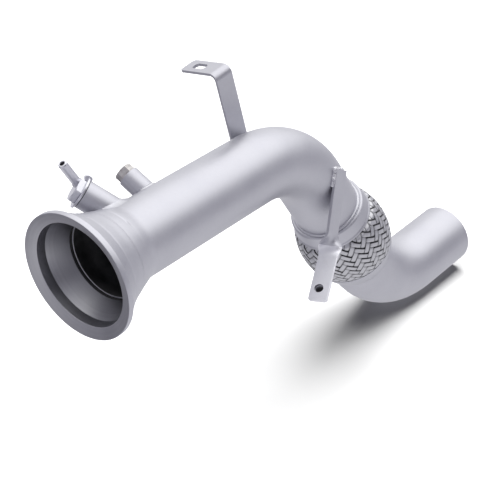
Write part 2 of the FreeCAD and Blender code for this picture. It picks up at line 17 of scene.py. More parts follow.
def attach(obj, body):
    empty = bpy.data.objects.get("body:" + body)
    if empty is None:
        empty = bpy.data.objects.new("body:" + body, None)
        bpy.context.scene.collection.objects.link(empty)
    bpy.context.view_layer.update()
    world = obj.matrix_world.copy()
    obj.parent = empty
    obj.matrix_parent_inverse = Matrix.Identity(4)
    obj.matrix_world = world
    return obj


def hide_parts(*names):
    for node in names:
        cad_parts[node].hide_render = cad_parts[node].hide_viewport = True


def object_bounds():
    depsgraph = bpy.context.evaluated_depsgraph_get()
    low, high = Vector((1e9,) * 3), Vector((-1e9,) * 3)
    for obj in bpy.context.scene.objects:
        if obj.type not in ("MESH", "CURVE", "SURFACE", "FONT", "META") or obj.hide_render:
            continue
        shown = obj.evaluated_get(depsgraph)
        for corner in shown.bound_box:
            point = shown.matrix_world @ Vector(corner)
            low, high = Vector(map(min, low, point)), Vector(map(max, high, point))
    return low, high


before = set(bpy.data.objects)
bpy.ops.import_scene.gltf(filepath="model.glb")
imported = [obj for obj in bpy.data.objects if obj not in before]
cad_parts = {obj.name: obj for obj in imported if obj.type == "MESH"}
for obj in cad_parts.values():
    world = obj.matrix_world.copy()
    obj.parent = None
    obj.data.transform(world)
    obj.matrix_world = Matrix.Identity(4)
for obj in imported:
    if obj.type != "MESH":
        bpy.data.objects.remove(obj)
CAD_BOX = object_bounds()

MM = 0.001
TAU = 2 * math.pi
BODY = "root"
X_AXIS = Vector((1.0, 0.0, 0.0))
Z_AXIS = Vector((0.0, 0.0, 1.0))
ORIGIN = Vector((0.0, 0.0, 0.0))

# Finer layers of the shaders' noise, and how much less each one counts
PATCH_LAYERS = 3.0
GRAIN_LAYERS = 2.0
NOISE_FALLOFF = 0.55

# Values that the braid's points carry to its finish: the place across a ribbon, and painted shade
ACROSS = "across"
WEAVE_SHADE = "rise"

# Angles in degrees above which an edge stays sharp
SHARP_ANGLE = 34.0
HEX_SHARP_ANGLE = 24.0
WELD_SHARP_ANGLE = 50.0
WEAVE_SHARP_ANGLE = 60.0

# Corners: the turn in degrees that is left alone, and the most that a rounding takes of a side
STRAIGHT_ANGLE = 4.0
CORNER_SHARE = 0.45

# Upward part of a direction from which it counts as upright
STEEP = 0.9

# Ripples of the round weld beads: their mean height, and the unevenness under them
RIPPLE_MEAN = 0.6
UNEVEN_GRAIN = 0.16
UNEVEN_SHARE = 1.6

# Holes cut through a strap: the eased rim, and how far the cutter stands past the faces
RIM_EASE = 0.15
CUT_PAST = 1.0
CUT_SIDES = 72

Triple = tuple[float, float, float]
Profile = Sequence[tuple[float, ...]]
Rows = list[list[Vector]]

log = logging.getLogger("downpipe")


class Slot(Enum):
    """Material slots of the record."""

    MACHINED = "machined_steel"
    BLASTED = "blasted_steel"
    BRAID = "braid_wire"
    SHEET = "thin_steel"
    PLATED = "plated_steel"
    PLUG = "plug_steel"
    WELD = "weld_steel"


class Wire:
    """One value of a shader, whose operators add the Math nodes of an expression."""

    def __init__(self, graph: "Graph", socket: bpy.types.NodeSocket) -> None:
        """Keeps the graph and the socket that carries the value."""
        self.graph = graph
        self.socket = socket

    def _math(self, operation: str, first: "Number", second: "Number") -> "Wire":
        """Math node on two values."""
        return self.graph.node("ShaderNodeMath", {"operation": operation}, {0: first, 1: second})

    def __add__(self, other: "Number") -> "Wire":
        """This value plus another."""
        return self._math("ADD", self, other)

    def __radd__(self, other: float) -> "Wire":
        """A number plus this value."""
        return self._math("ADD", other, self)

    def __sub__(self, other: "Number") -> "Wire":
        """This value less another."""
        return self._math("SUBTRACT", self, other)

    def __rsub__(self, other: float) -> "Wire":
        """A number less this value."""
        return self._math("SUBTRACT", other, self)

    def __mul__(self, other: "Number") -> "Wire":
        """This value times another."""
        return self._math("MULTIPLY", self, other)

    def __rmul__(self, other: float) -> "Wire":
        """A number times this value."""
        return self._math("MULTIPLY", other, self)

    def clipped(self) -> "Wire":
        """This value held between nought and one."""
        return self.graph.node("ShaderNodeClamp", {}, {0: self, 1: 0.0, 2: 1.0})

    def sine(self) -> "Wire":
        """Sine of this value."""
        return self.graph.node("ShaderNodeMath", {"operation": "SINE"}, {0: self})


Number = Wire | float


class Graph:
    """Node tree of one material or of the studio's surroundings."""

    def __init__(self, owner: bpy.types.Material | bpy.types.World) -> None:
        """Clears the owner's node tree.

        Args:
            owner: Material or world that the nodes belong to.
        """
        self.owner = owner
        owner.use_nodes = True
        self.tree = owner.node_tree
        self.tree.nodes.clear()

    @classmethod
    def finish(cls, name: str) -> "Graph":
        """Graph of a new material."""
        return cls(bpy.data.materials.new(name))

    def node(
        self,
        kind: str,
        settings: Mapping[str, object] | None = None,
        inputs: Mapping[int | str, object] | None = None,
        output: int | str = 0,
    ) -> Wire:
        """Adds a node.

        Args:
            kind: Blender's type of the node.
            settings: Properties of the node, set before its sockets.
            inputs: Values or wires by socket.
            output: Socket that the wire leaves from.

        Returns:
            The wire that leaves the node.
        """
        made = self.tree.nodes.new(kind)
        for key, value in (settings or {}).items():
            setattr(made, key, value)
        for key, value in (inputs or {}).items():
            if isinstance(value, Wire):
                self.tree.links.new(value.socket, made.inputs[key])
            else:
                made.inputs[key].default_value = value
        return Wire(self, made.outputs[output])

    def place(self) -> Wire:
        """Position on the part, in metres."""
        return self.node("ShaderNodeTexCoord", output="Object")

    def cloud(self, place: Wire, size: float, layers: float = GRAIN_LAYERS) -> Wire:
        """Noise from nought to one.

        Args:
            place: Position that the noise follows.
            size: Size of its patches in millimetres.
            layers: Number of finer layers.

        Returns:
            The noise value.
        """
        inputs = {"Vector": place, "Scale": 1.0 / (size * MM), "Detail": layers,
                  "Roughness": NOISE_FALLOFF}
        return self.node("ShaderNodeTexNoise", {}, inputs)

    def shade(self, share: Wire, low: Triple, high: Triple) -> Wire:
        """Colour between two others.

        Args:
            share: Nought for the first colour and one for the second.
            low: First colour.
            high: Second colour.

        Returns:
            The mixed colour.
        """
        inputs = {0: share, 6: (*low, 1.0), 7: (*high, 1.0)}
        return self.node("ShaderNodeMix", {"data_type": "RGBA"}, inputs, 2)

    def bump(self, height: Wire, depth: float) -> Wire:
        """Normal of a surface whose height varies.

        Args:
            height: Height from nought to one.
            depth: What a height of one stands for, in millimetres.

        Returns:
            The normal.
        """
        return self.node("ShaderNodeBump", {}, {"Height": height, "Distance": depth * MM})

    def surface(self, **inputs: object) -> bpy.types.Material:
        """Ends the material with its surface shader.

        Args:
            inputs: Values or wires, with underscores for the blanks in a socket's name.

        Returns:
            The material.
        """
        named = {key.replace("_", " "): value for key, value in inputs.items()}
        shader = self.node("ShaderNodeBsdfPrincipled", {}, named)
        self.close("ShaderNodeOutputMaterial", shader)
        return self.owner

    def close(self, kind: str, shader: Wire) -> None:
        """Joins a shader to the output node of that kind."""
        made = self.tree.nodes.new(kind)
        self.tree.links.new(shader.socket, made.inputs["Surface"])

    def ease(self, value: Wire, low: float, high: float) -> Wire:
        """Smooth step of a value from nought at one end to one at the other."""
        settings = {"interpolation_type": "SMOOTHSTEP"}
        return self.node("ShaderNodeMapRange", settings, {0: value, 1: low, 2: high})


@dataclass(frozen=True)
class BlastedSteel:
    """Stainless steel after bead blasting: satin, finely pitted and faintly cloudy."""

    name: str = "blasted_steel_finish"
    dark: Triple = (0.515, 0.515, 0.560)
    light: Triple = (0.590, 0.590, 0.630)
    roughness: float = 0.46
    patch_size: float = 26.0
    patch_tone: float = 1.3
    patch_gloss: float = 0.10
    speck_size: float = 3.0
    speck_tone: float = 0.7
    speck_gloss: float = 0.08
    speck_height: float = 0.3
    grain_size: float = 0.55
    grain_depth: float = 0.030

    def material(self) -> bpy.types.Material:
        """Makes the material."""
        graph = Graph.finish(self.name)
        place = graph.place()
        patch = graph.cloud(place, self.patch_size, PATCH_LAYERS)
        speck = graph.cloud(place, self.speck_size, PATCH_LAYERS)
        grain = graph.cloud(place, self.grain_size)
        share = (patch * self.patch_tone + speck * self.speck_tone - 0.5).clipped()
        dull = (patch - 0.5) * self.patch_gloss + (speck - 0.5) * self.speck_gloss
        height = grain * (1.0 - self.speck_height) + speck * self.speck_height
        return graph.surface(
            Base_Color=graph.shade(share, self.dark, self.light),
            Metallic=1.0,
            Roughness=self.roughness + dull,
            Normal=graph.bump(height, self.grain_depth),
        )


@dataclass(frozen=True)
class TurnedSteel:
    """Steel off the lathe, with fine rings about the piece's axis."""

    name: str = "turned_steel_finish"
    dark: Triple = (0.36, 0.36, 0.385)
    light: Triple = (0.47, 0.47, 0.495)
    roughness: float = 0.36
    ring_size: float = 0.9
    ring_layers: float = 4.0
    ring_tone: float = 1.1
    ring_gloss: float = 0.16
    ring_depth: float = 0.016
    patch_size: float = 20.0
    patch_tone: float = 0.9
    patch_gloss: float = 0.08

    def material(self) -> bpy.types.Material:
        """Makes the material, whose rings lie about the X axis."""
        graph = Graph.finish(self.name)
        place = graph.place()
        across = graph.node("ShaderNodeVectorMath", {"operation": "MULTIPLY"},
                            {0: place, 1: (0.0, 1.0, 1.0)})
        radius = graph.node("ShaderNodeVectorMath", {"operation": "LENGTH"}, {0: across}, "Value")
        station = graph.node("ShaderNodeVectorMath", {"operation": "DOT_PRODUCT"},
                             {0: place, 1: (1.0, 0.0, 0.0)}, "Value")
        section = graph.node("ShaderNodeCombineXYZ", {}, {0: radius, 1: station, 2: 0.0})
        ring = graph.cloud(section, self.ring_size, self.ring_layers)
        patch = graph.cloud(place, self.patch_size, PATCH_LAYERS)
        share = (ring * self.ring_tone + patch * self.patch_tone - 0.5).clipped()
        dull = (ring - 0.5) * self.ring_gloss + (patch - 0.5) * self.patch_gloss
        return graph.surface(
            Base_Color=graph.shade(share, self.dark, self.light),
            Metallic=1.0,
            Roughness=self.roughness + dull,
            Normal=graph.bump(ring, self.ring_depth),
        )


@dataclass(frozen=True)
class WovenWire:
    """Flat ribbons of fine wire, blasted with the rest, with painted shade down in the weave."""

    name: str = "woven_wire_finish"
    # The dark colour is painted shade deep in the weave
    dark: Triple = (0.03, 0.03, 0.033)
    light: Triple = (0.62, 0.62, 0.65)
    roughness: float = 0.40
    patch_size: float = 7.0
    patch_tone: float = 0.7
    patch_gloss: float = 0.20
    weave_shade_tone: float = 1.6
    tone_drop: float = 0.75
    wires: int = 7
    wire_tone: float = 0.14
    wire_depth: float = 0.06

    def material(self) -> bpy.types.Material:
        """Makes the material from the values that each ribbon carries, painted shade among them."""
        graph = Graph.finish(self.name)
        across = graph.node("ShaderNodeAttribute", {"attribute_name": ACROSS}, output="Fac")
        rise = graph.node("ShaderNodeAttribute", {"attribute_name": WEAVE_SHADE}, output="Fac")
        patch = graph.cloud(graph.place(), self.patch_size)
        # Painted shade between the wires: each groove is darkened a little.
        groove = (across * (math.pi * self.wires)).sine() * 0.5 + 0.5
        # Painted shade: colour falls to near-black where the ribbon dips under, sinks or lies on its
        # shaded side.
        shown = (rise * self.weave_shade_tone + patch * self.patch_tone - self.tone_drop).clipped()
        share = shown * (1.0 - self.wire_tone + groove * self.wire_tone)
        return graph.surface(
            Base_Color=graph.shade(share, self.dark, self.light),
            Metallic=1.0,
            Roughness=self.roughness + (patch - 0.5) * self.patch_gloss,
            Normal=graph.bump(groove, self.wire_depth),
        )


@dataclass(frozen=True)
class CloudySteel:
    """Steel whose colour and gloss drift in soft patches under a fine grain."""

    name: str
    dark: Triple
    light: Triple
    roughness: float
    patch_size: float
    patch_gloss: float
    grain_size: float
    grain_depth: float = 0.02
    metal: float = 1.0

    def material(self) -> bpy.types.Material:
        """Makes the material."""
        graph = Graph.finish(self.name)
        place = graph.place()
        patch = graph.cloud(place, self.patch_size, PATCH_LAYERS)
        return graph.surface(
            Base_Color=graph.shade(patch, self.dark, self.light),
            Metallic=self.metal,
            Roughness=self.roughness + (patch - 0.5) * self.patch_gloss,
            Normal=graph.bump(graph.cloud(place, self.grain_size), self.grain_depth),
        )


@dataclass(frozen=True)
class PlatedSteel(CloudySteel):
    """Zinc plated fittings, a little brighter and smoother than the tube."""

    name: str = "plated_steel_finish"
    dark: Triple = (0.64, 0.64, 0.69)
    light: Triple = (0.78, 0.78, 0.82)
    roughness: float = 0.34
    patch_size: float = 6.0
    patch_gloss: float = 0.18
    grain_size: float = 0.5


@dataclass(frozen=True)
class PlugSteel(CloudySteel):
    """Bare turned steel of the blanking plug, with a straw tint."""

    name: str = "plug_steel_finish"
    dark: Triple = (0.30, 0.28, 0.27)
    light: Triple = (0.84, 0.82, 0.81)
    roughness: float = 0.30
    patch_size: float = 4.0
    patch_gloss: float = 0.20
    grain_size: float = 0.6


@dataclass(frozen=True)
class ShadedSheetSteel(CloudySteel):
    """Thin rolled steel inside the flexible section and in the bush's thread, darkened as painted
    shade.
    """

    name: str = "painted_shade_sheet_finish"
    dark: Triple = (0.20, 0.20, 0.21)
    light: Triple = (0.32, 0.32, 0.33)
    roughness: float = 0.42
    patch_size: float = 9.0
    patch_gloss: float = 0.20
    grain_size: float = 0.8


@dataclass(frozen=True)
class PaintedShadeSteel(CloudySteel):
    """Near-black steel whose darkness is painted shade, inside the tube and in dark gaps and bores.
    """

    name: str = "painted_shade_steel_finish"
    dark: Triple = (0.032, 0.032, 0.034)
    light: Triple = (0.110, 0.110, 0.114)
    roughness: float = 0.48
    patch_size: float = 12.0
    patch_gloss: float = 0.20
    grain_size: float = 0.9
    grain_depth: float = 0.03
    metal: float = 0.6


@dataclass(frozen=True)
class WeldMetal:
    """Weld bead with a lumpy skin, brighter than the plate."""

    name: str = "weld_metal_finish"
    dark: Triple = (0.52, 0.52, 0.55)
    light: Triple = (0.80, 0.80, 0.84)
    roughness: float = 0.26
    patch_size: float = 5.0
    lump_size: float = 1.4
    lump_gloss: float = 0.20
    lump_depth: float = 0.12

    def material(self) -> bpy.types.Material:
        """Makes the material."""
        graph = Graph.finish(self.name)
        place = graph.place()
        patch = graph.cloud(place, self.patch_size, PATCH_LAYERS)
        lump = graph.cloud(place, self.lump_size)
        return graph.surface(
            Base_Color=graph.shade(patch, self.dark, self.light),
            Metallic=1.0,
            Roughness=self.roughness + (lump - 0.5) * self.lump_gloss,
            Normal=graph.bump(lump, self.lump_depth),
        )


class Palette:
    """The finishes, each made once."""

    def __init__(self) -> None:
        """Makes every material."""
        self.blasted = BlastedSteel().material()
        # Painted light: a paler copy of the blasted finish for the lower strap's foot, which faces
        # up.
        self.pale = BlastedSteel(
            name="painted_light_blasted_finish", dark=(0.78, 0.78, 0.82), light=(0.88, 0.88, 0.92),
        ).material()
        self.turned = TurnedSteel().material()
        self.woven = WovenWire().material()
        self.plated = PlatedSteel().material()
        self.plug = PlugSteel().material()
        self.weld = WeldMetal().material()
        self.soft_weld = WeldMetal(
            name="blasted_weld_finish", dark=(0.52, 0.52, 0.56), light=(0.64, 0.64, 0.68),
            roughness=0.42,
        ).material()
        # Painted shade: dark sheet where the bellows, liner and thread lie in shade
        self.shaded_sheet = ShadedSheetSteel().material()
        # Painted shade: near-black steel for the tube's inside, the flange's groove and the dark
        # bores
        self.painted_shade = PaintedShadeSteel().material()


@dataclass
class Shell:
    """Points and faces of one piece while it is made, in millimetres."""

    points: list[Vector] = field(default_factory=list)
    faces: list[tuple[int, ...]] = field(default_factory=list)
    marks: list[int] = field(default_factory=list)
    values: dict[str, list[float]] = field(default_factory=dict)

    def net(self, rows: Rows, wrap: bool = False, mark: int = 0) -> None:
        """Adds a net of rings, joined by four-sided faces.

        Args:
            rows: The rings, all of one length.
            wrap: Whether the last ring joins the first.
            mark: Material slot of the faces.
        """
        start = len(self.points)
        count = len(rows[0])
        for row in rows:
            self.points.extend(row)
        pairs = len(rows) if wrap else len(rows) - 1
        for i in range(pairs):
            low = start + i * count
            high = start + ((i + 1) % len(rows)) * count
            for j in range(count):
                k = (j + 1) % count
                self.faces.append((low + j, low + k, high + k, high + j))
                self.marks.append(mark)

    def capped(self, rows: Rows, mark: int = 0) -> None:
        """Adds a net of rings closed by a flat face at each end.

        Args:
            rows: The rings, all of one length.
            mark: Material slot of the faces.
        """
        start = len(self.points)
        count = len(rows[0])
        self.net(rows, mark=mark)
        last = start + (len(rows) - 1) * count
        self.faces.append(tuple(range(start + count - 1, start - 1, -1)))
        self.faces.append(tuple(range(last, last + count)))
        self.marks.extend([mark, mark])

    def paint(self, first: int, last: int, mark: int) -> None:
        """Gives the faces from one number up to another a material slot."""
        self.marks[first:last] = [mark] * (last - first)

    def piece(
        self,
        name: str,
        materials: Sequence[bpy.types.Material],
        slot: Slot,
        nodes: Sequence[str] = (),
        sharp: float = SHARP_ANGLE,
    ) -> bpy.types.Object:
        """Makes the object, lets it ride on the part and hides the nodes that it replaces.

        Args:
            name: Name of the piece.
            materials: Finishes by slot number.
            slot: Material slot of the record; not used.
            nodes: Nodes of the construction that the piece replaces.
            sharp: Angle in degrees above which an edge stays sharp.

        Returns:
            The object.
        """
        mesh = bpy.data.meshes.new(name)
        mesh.from_pydata([point * MM for point in self.points], [], self.faces)
        for key, numbers in self.values.items():
            mesh.attributes.new(key, "FLOAT", "POINT").data.foreach_set("value", numbers)
        mesh.polygons.foreach_set("material_index", self.marks)
        for material in materials:
            mesh.materials.append(material)
        smooth(mesh, sharp)
        obj = bpy.data.objects.new(name, mesh)
        bpy.context.scene.collection.objects.link(obj)
        settle(obj, nodes)
        return obj


def smooth(mesh: bpy.types.Mesh, sharp: float) -> None:
    """Turns faces outward and smooths them, with edges above an angle kept sharp.

    Args:
        mesh: The mesh.
        sharp: The angle in degrees.
    """
    bm = bmesh.new()
    bm.from_mesh(mesh)
    bmesh.ops.recalc_face_normals(bm, faces=bm.faces[:])
    limit = math.radians(sharp)
    for face in bm.faces:
        face.smooth = True
    for edge in bm.edges:
        edge.smooth = len(edge.link_faces) == 2 and edge.calc_face_angle() < limit
    bm.to_mesh(mesh)
    bm.free()
    mesh.update()


def settle(obj: bpy.types.Object, nodes: Sequence[str]) -> None:
    """Lets an object ride on the part and hides the nodes that it replaces.

    Args:
        obj: The piece.
        nodes: Nodes of the construction that it replaces.
    """
    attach(obj, BODY)
    if nodes:
        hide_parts(*nodes)
    log.info("%s: %d faces", obj.name, len(obj.data.polygons))


def blend(low: float, high: float, share: float) -> float:
    """Smooth step from one value to another.

    Args:
        low: Value at a share of nought and under it.
        high: Value at a share of one and over it.
        share: The share.

    Returns:
        The value.
    """
    share = min(max(share, 0.0), 1.0)
    return low + (high - low) * share * share * (3 - 2 * share)


def square_frame(axis: Vector) -> tuple[Vector, Vector]:
    """Two unit vectors across an axis, at right angles to each other."""
    side = axis.cross(Z_AXIS if abs(axis.z) < STEEP else X_AXIS).normalized()
    return side, axis.cross(side).normalized()


def hoop(centre: Vector, side: Vector, other: Vector, radius: float, count: int) -> list[Vector]:
    """Points of a circle in the plane of two directions."""
    turns = [TAU * i / count for i in range(count)]
    return [centre + (side * math.cos(t) + other * math.sin(t)) * radius for t in turns]


def ring(centre: Vector, axis: Vector, radius: float, count: int) -> list[Vector]:
    """Points of a circle about an axis."""
    return hoop(centre, *square_frame(axis), radius, count)


def eased(profile: Profile, ease: float = 0.3, steps: int = 4) -> list[tuple[float, float]]:
    """Closed profile with its corners rounded.

    Args:
        profile: Corners, each with its own rounding as an optional third number.
        ease: Length taken off each side of a corner that gives none.
        steps: Number of points that round a corner.

    Returns:
        The rounded profile.
    """
    corners = [Vector(corner[:2]) for corner in profile]
    made = []
    for i, corner in enumerate(corners):
        before = corners[i - 1] - corner
        after = corners[(i + 1) % len(corners)] - corner
        wish = profile[i][2] if len(profile[i]) > 2 else ease
        cut = min(wish, CORNER_SHARE * before.length, CORNER_SHARE * after.length)
        if cut <= 0.0 or before.angle(-after) < math.radians(STRAIGHT_ANGLE):
            made.append(tuple(corner))
            continue
        start = corner + before.normalized() * cut
        end = corner + after.normalized() * cut
        for step in range(steps + 1):
            share = step / steps
            point = start.lerp(corner, share).lerp(corner.lerp(end, share), share)
            made.append(tuple(point))
    return made


def turned(profile: Profile, origin: Vector, axis: Vector, count: int = 160) -> Rows:
    """Rings of a closed profile turned about an axis, from stations and radii."""
    return [ring(origin + axis * station, axis, radius, count) for station, radius in profile]


@dataclass(frozen=True)
class TubeRun:
    """Centre line of the tube: three straight legs and two bends of one radius."""

    radius: float = 35.0
    wall: float = 1.5
    bend_radius: float = 107.0
    pivot: float = 42.0
    corners: tuple[Triple, Triple] = ((294.0, -4.3, -10.0), (427.0, -35.0, -246.0))
    outlet: Triple = (560.5, -42.8, -240.9)

    def start(self) -> Vector:
        """Point where the tube leans off the flange's axis."""
        return X_AXIS * self.pivot

    def legs(self) -> tuple[Vector, Vector, Vector]:
        """Directions of the three legs."""
        first, second = (Vector(corner) for corner in self.corners)
        return (
            (first - self.start()).normalized(),
            (second - first).normalized(),
            (Vector(self.outlet) - second).normalized(),
        )

    def on_first(self, station: float) -> Vector:
        """Point of the first leg at a distance along the flange's axis."""
        return self.start() + self.legs()[0] * (station - self.pivot)

    def on_middle(self, station: float) -> Vector:
        """Point of the middle leg, measured from the first corner."""
        return Vector(self.corners[0]) + self.legs()[1] * station

    def bend(self, index: int, count: int = 56) -> list[Vector]:
        """Points of the arc that rounds a corner.

        Args:
            index: Nought for the first corner and one for the second.
            count: Number of steps.

        Returns:
            The points, with both ends.
        """
        corner = Vector(self.corners[index])
        way_in, way_out = self.legs()[index], self.legs()[index + 1]
        turn = way_in.angle(way_out)
        start = corner - way_in * self.bend_radius * math.tan(turn / 2)
        inward = (way_out - way_in * way_in.dot(way_out)).normalized()
        points = []
        for i in range(count + 1):
            angle = turn * i / count
            along = way_in * math.sin(angle) + inward * (1 - math.cos(angle))
            points.append(start + along * self.bend_radius)
        return points

    def side_axis(self, station: float, around: float, lean: float) -> tuple[Vector, Vector]:
        """Origin and outward axis of a boss on the first leg.

        Args:
            station: Distance along the flange's axis.
            around: Angle from the top towards the far side, in degrees.
            lean: Angle by which it leans back to the inlet, in degrees.

        Returns:
            The origin on the tube's axis and the boss's axis.
        """
        leg = self.legs()[0]
        up = (Z_AXIS - leg * Z_AXIS.dot(leg)).normalized()
        far = up.cross(leg)
        turn, tilt = math.radians(around), math.radians(lean)
        out = up * math.cos(turn) + far * math.sin(turn)
        return self.on_first(station), out * math.cos(tilt) - leg * math.sin(tilt)

    def seated(self, point: Vector, rise: float = 0.0) -> Vector:
        """Nearest point on the first leg's outside.

        Args:
            point: The point.
            rise: Height over the outside.

        Returns:
            The point on the tube.
        """
        leg = self.legs()[0]
        foot = self.start() + leg * (point - self.start()).dot(leg)
        return foot + (point - foot).normalized() * (self.radius + rise)

    def off_bend(self, point: Vector, sink: float) -> Vector:
        """Point pushed out of the tube at the first bend.

        Args:
            point: The point.
            sink: Depth under the tube's outside that it may keep.

        Returns:
            The point, moved only where it lay deeper.
        """
        near = min(self.bend(0), key=lambda spot: (spot - point).length)
        least = self.radius - sink
        away = point - near
        return point if away.length >= least else near + away.normalized() * least


def between(start: Vector, end: Vector, count: int) -> list[Vector]:
    """Evenly spaced points after a start, up to and with an end."""
    return [start.lerp(end, i / count) for i in range(1, count + 1)]


def swept(path: Sequence[Vector], radii: Sequence[float], count: int = 128) -> Rows:
    """Rings along a path that don't twist from one to the next.

    Args:
        path: Points of the centre line.
        radii: Radius at each point.
        count: Points in a ring.

    Returns:
        The rings.
    """
    rows = []
    side = None
    for i, point in enumerate(path):
        before, after = path[max(i - 1, 0)], path[min(i + 1, len(path) - 1)]
        axis = (after - before).normalized()
        if side is None:
            side = square_frame(axis)[0]
        else:
            side = (side - axis * side.dot(axis)).normalized()
        rows.append(hoop(point, side, axis.cross(side), radii[i], count))
    return rows


@dataclass
class Tubing:
    """Main pipe with its swaged mouth, and the outlet elbow."""

    run: TubeRun
    palette: Palette
    mouth_radius: float = 39.65
    mouth_start: float = 36.0
    mouth_end: float = 46.0
    swage_end: float = 66.0
    pipe_end: float = 116.0
    elbow_start: float = 194.0
    edge: float = 0.35
    rim_shares: tuple[float, float] = (0.18, 0.82)
    swage_steps: int = 12
    run_steps: int = 30
    middle_steps: int = 8
    elbow_steps: int = 4
    outlet_steps: int = 10

    def walled(self, path: list[Vector], radii: list[float], name: str, node: str) -> None:
        """Makes a tube with an outside, an inside painted dark as shade, and eased ends.

        Args:
            path: Points of the centre line.
            radii: Outside radius at each point.
            name: Name of the piece.
            node: Node that it replaces.
        """
        wall = self.run.wall
        outer = swept(path, radii)
        inner = swept(path, [radius - wall for radius in radii])
        shell = Shell()
        shell.net(outer)
        start = len(shell.points)
        shell.net(inner, mark=1)
        self._end(shell, path[0], path[1], outer[0], inner[0], 0, start)
        last = (len(outer) - 1) * len(outer[0])
        self._end(shell, path[-1], path[-2], outer[-1], inner[-1], last, start + last)
        # The inside gets painted shade: near-black steel instead of the blasted finish.
        finishes = (self.palette.blasted, self.palette.painted_shade)
        shell.piece(name, finishes, Slot.BLASTED, [node])

    def _end(self, shell: Shell, tip: Vector, before: Vector, outer: list[Vector],
             inner: list[Vector], outer_start: int, inner_start: int) -> None:
        """Closes a tube's cut end with a face that has an eased rim.

        Args:
            shell: Shell of the tube.
            tip: Point of the centre line at the end.
            before: Point of the centre line before it.
            outer: Last ring of the outside.
            inner: Last ring of the inside.
            outer_start: Number of the outer ring's first point.
            inner_start: Number of the inner ring's first point.
        """
        out = (tip - before).normalized() * self.edge
        count = len(outer)
        rims = []
        for share in self.rim_shares:
            rims.append(len(shell.points))
            shell.points.extend([a.lerp(b, share) + out for a, b in zip(outer, inner)])
        starts = [outer_start, *rims, inner_start]
        for low, high in zip(starts, starts[1:]):
            for j in range(count):
                k = (j + 1) % count
                shell.faces.append((low + j, low + k, high + k, high + j))
                shell.marks.append(0)

    def main_pipe(self) -> None:
        """Makes the main pipe."""
        mouth_middle = 0.5 * (self.mouth_start + self.mouth_end)
        mouth = (self.mouth_start + self.edge, mouth_middle, self.mouth_end)
        path = [X_AXIS * station for station in mouth]
        radii = [self.mouth_radius] * len(path)
        for i in range(1, self.swage_steps + 1):
            share = i / self.swage_steps
            station = self.mouth_end + (self.swage_end - self.mouth_end) * share
            path.append(self.run.on_first(station))
            radii.append(blend(self.mouth_radius, self.run.radius, share))
        arc = self.run.bend(0)
        end = self.run.on_middle(self.pipe_end - self.edge)
        path.extend(between(path[-1], arc[0], self.run_steps)[:-1])
        path.extend(arc)
        path.extend(between(arc[-1], end, self.middle_steps))
        radii.extend([self.run.radius] * (len(path) - len(radii)))
        self.walled(path, radii, "main_pipe_tube", "main_pipe")

    def outlet_elbow(self) -> None:
        """Makes the elbow."""
        arc = self.run.bend(1)
        start = self.run.on_middle(self.elbow_start + self.edge)
        end = Vector(self.run.outlet) - self.run.legs()[2] * self.edge
        path = [start, *between(start, arc[0], self.elbow_steps)[:-1], *arc]
        path.extend(between(arc[-1], end, self.outlet_steps))
        self.walled(path, [self.run.radius] * len(path), "outlet_elbow_tube", "outlet_elbow")

    def build(self) -> None:
        """Makes both tubes."""
        self.main_pipe()
        self.outlet_elbow()


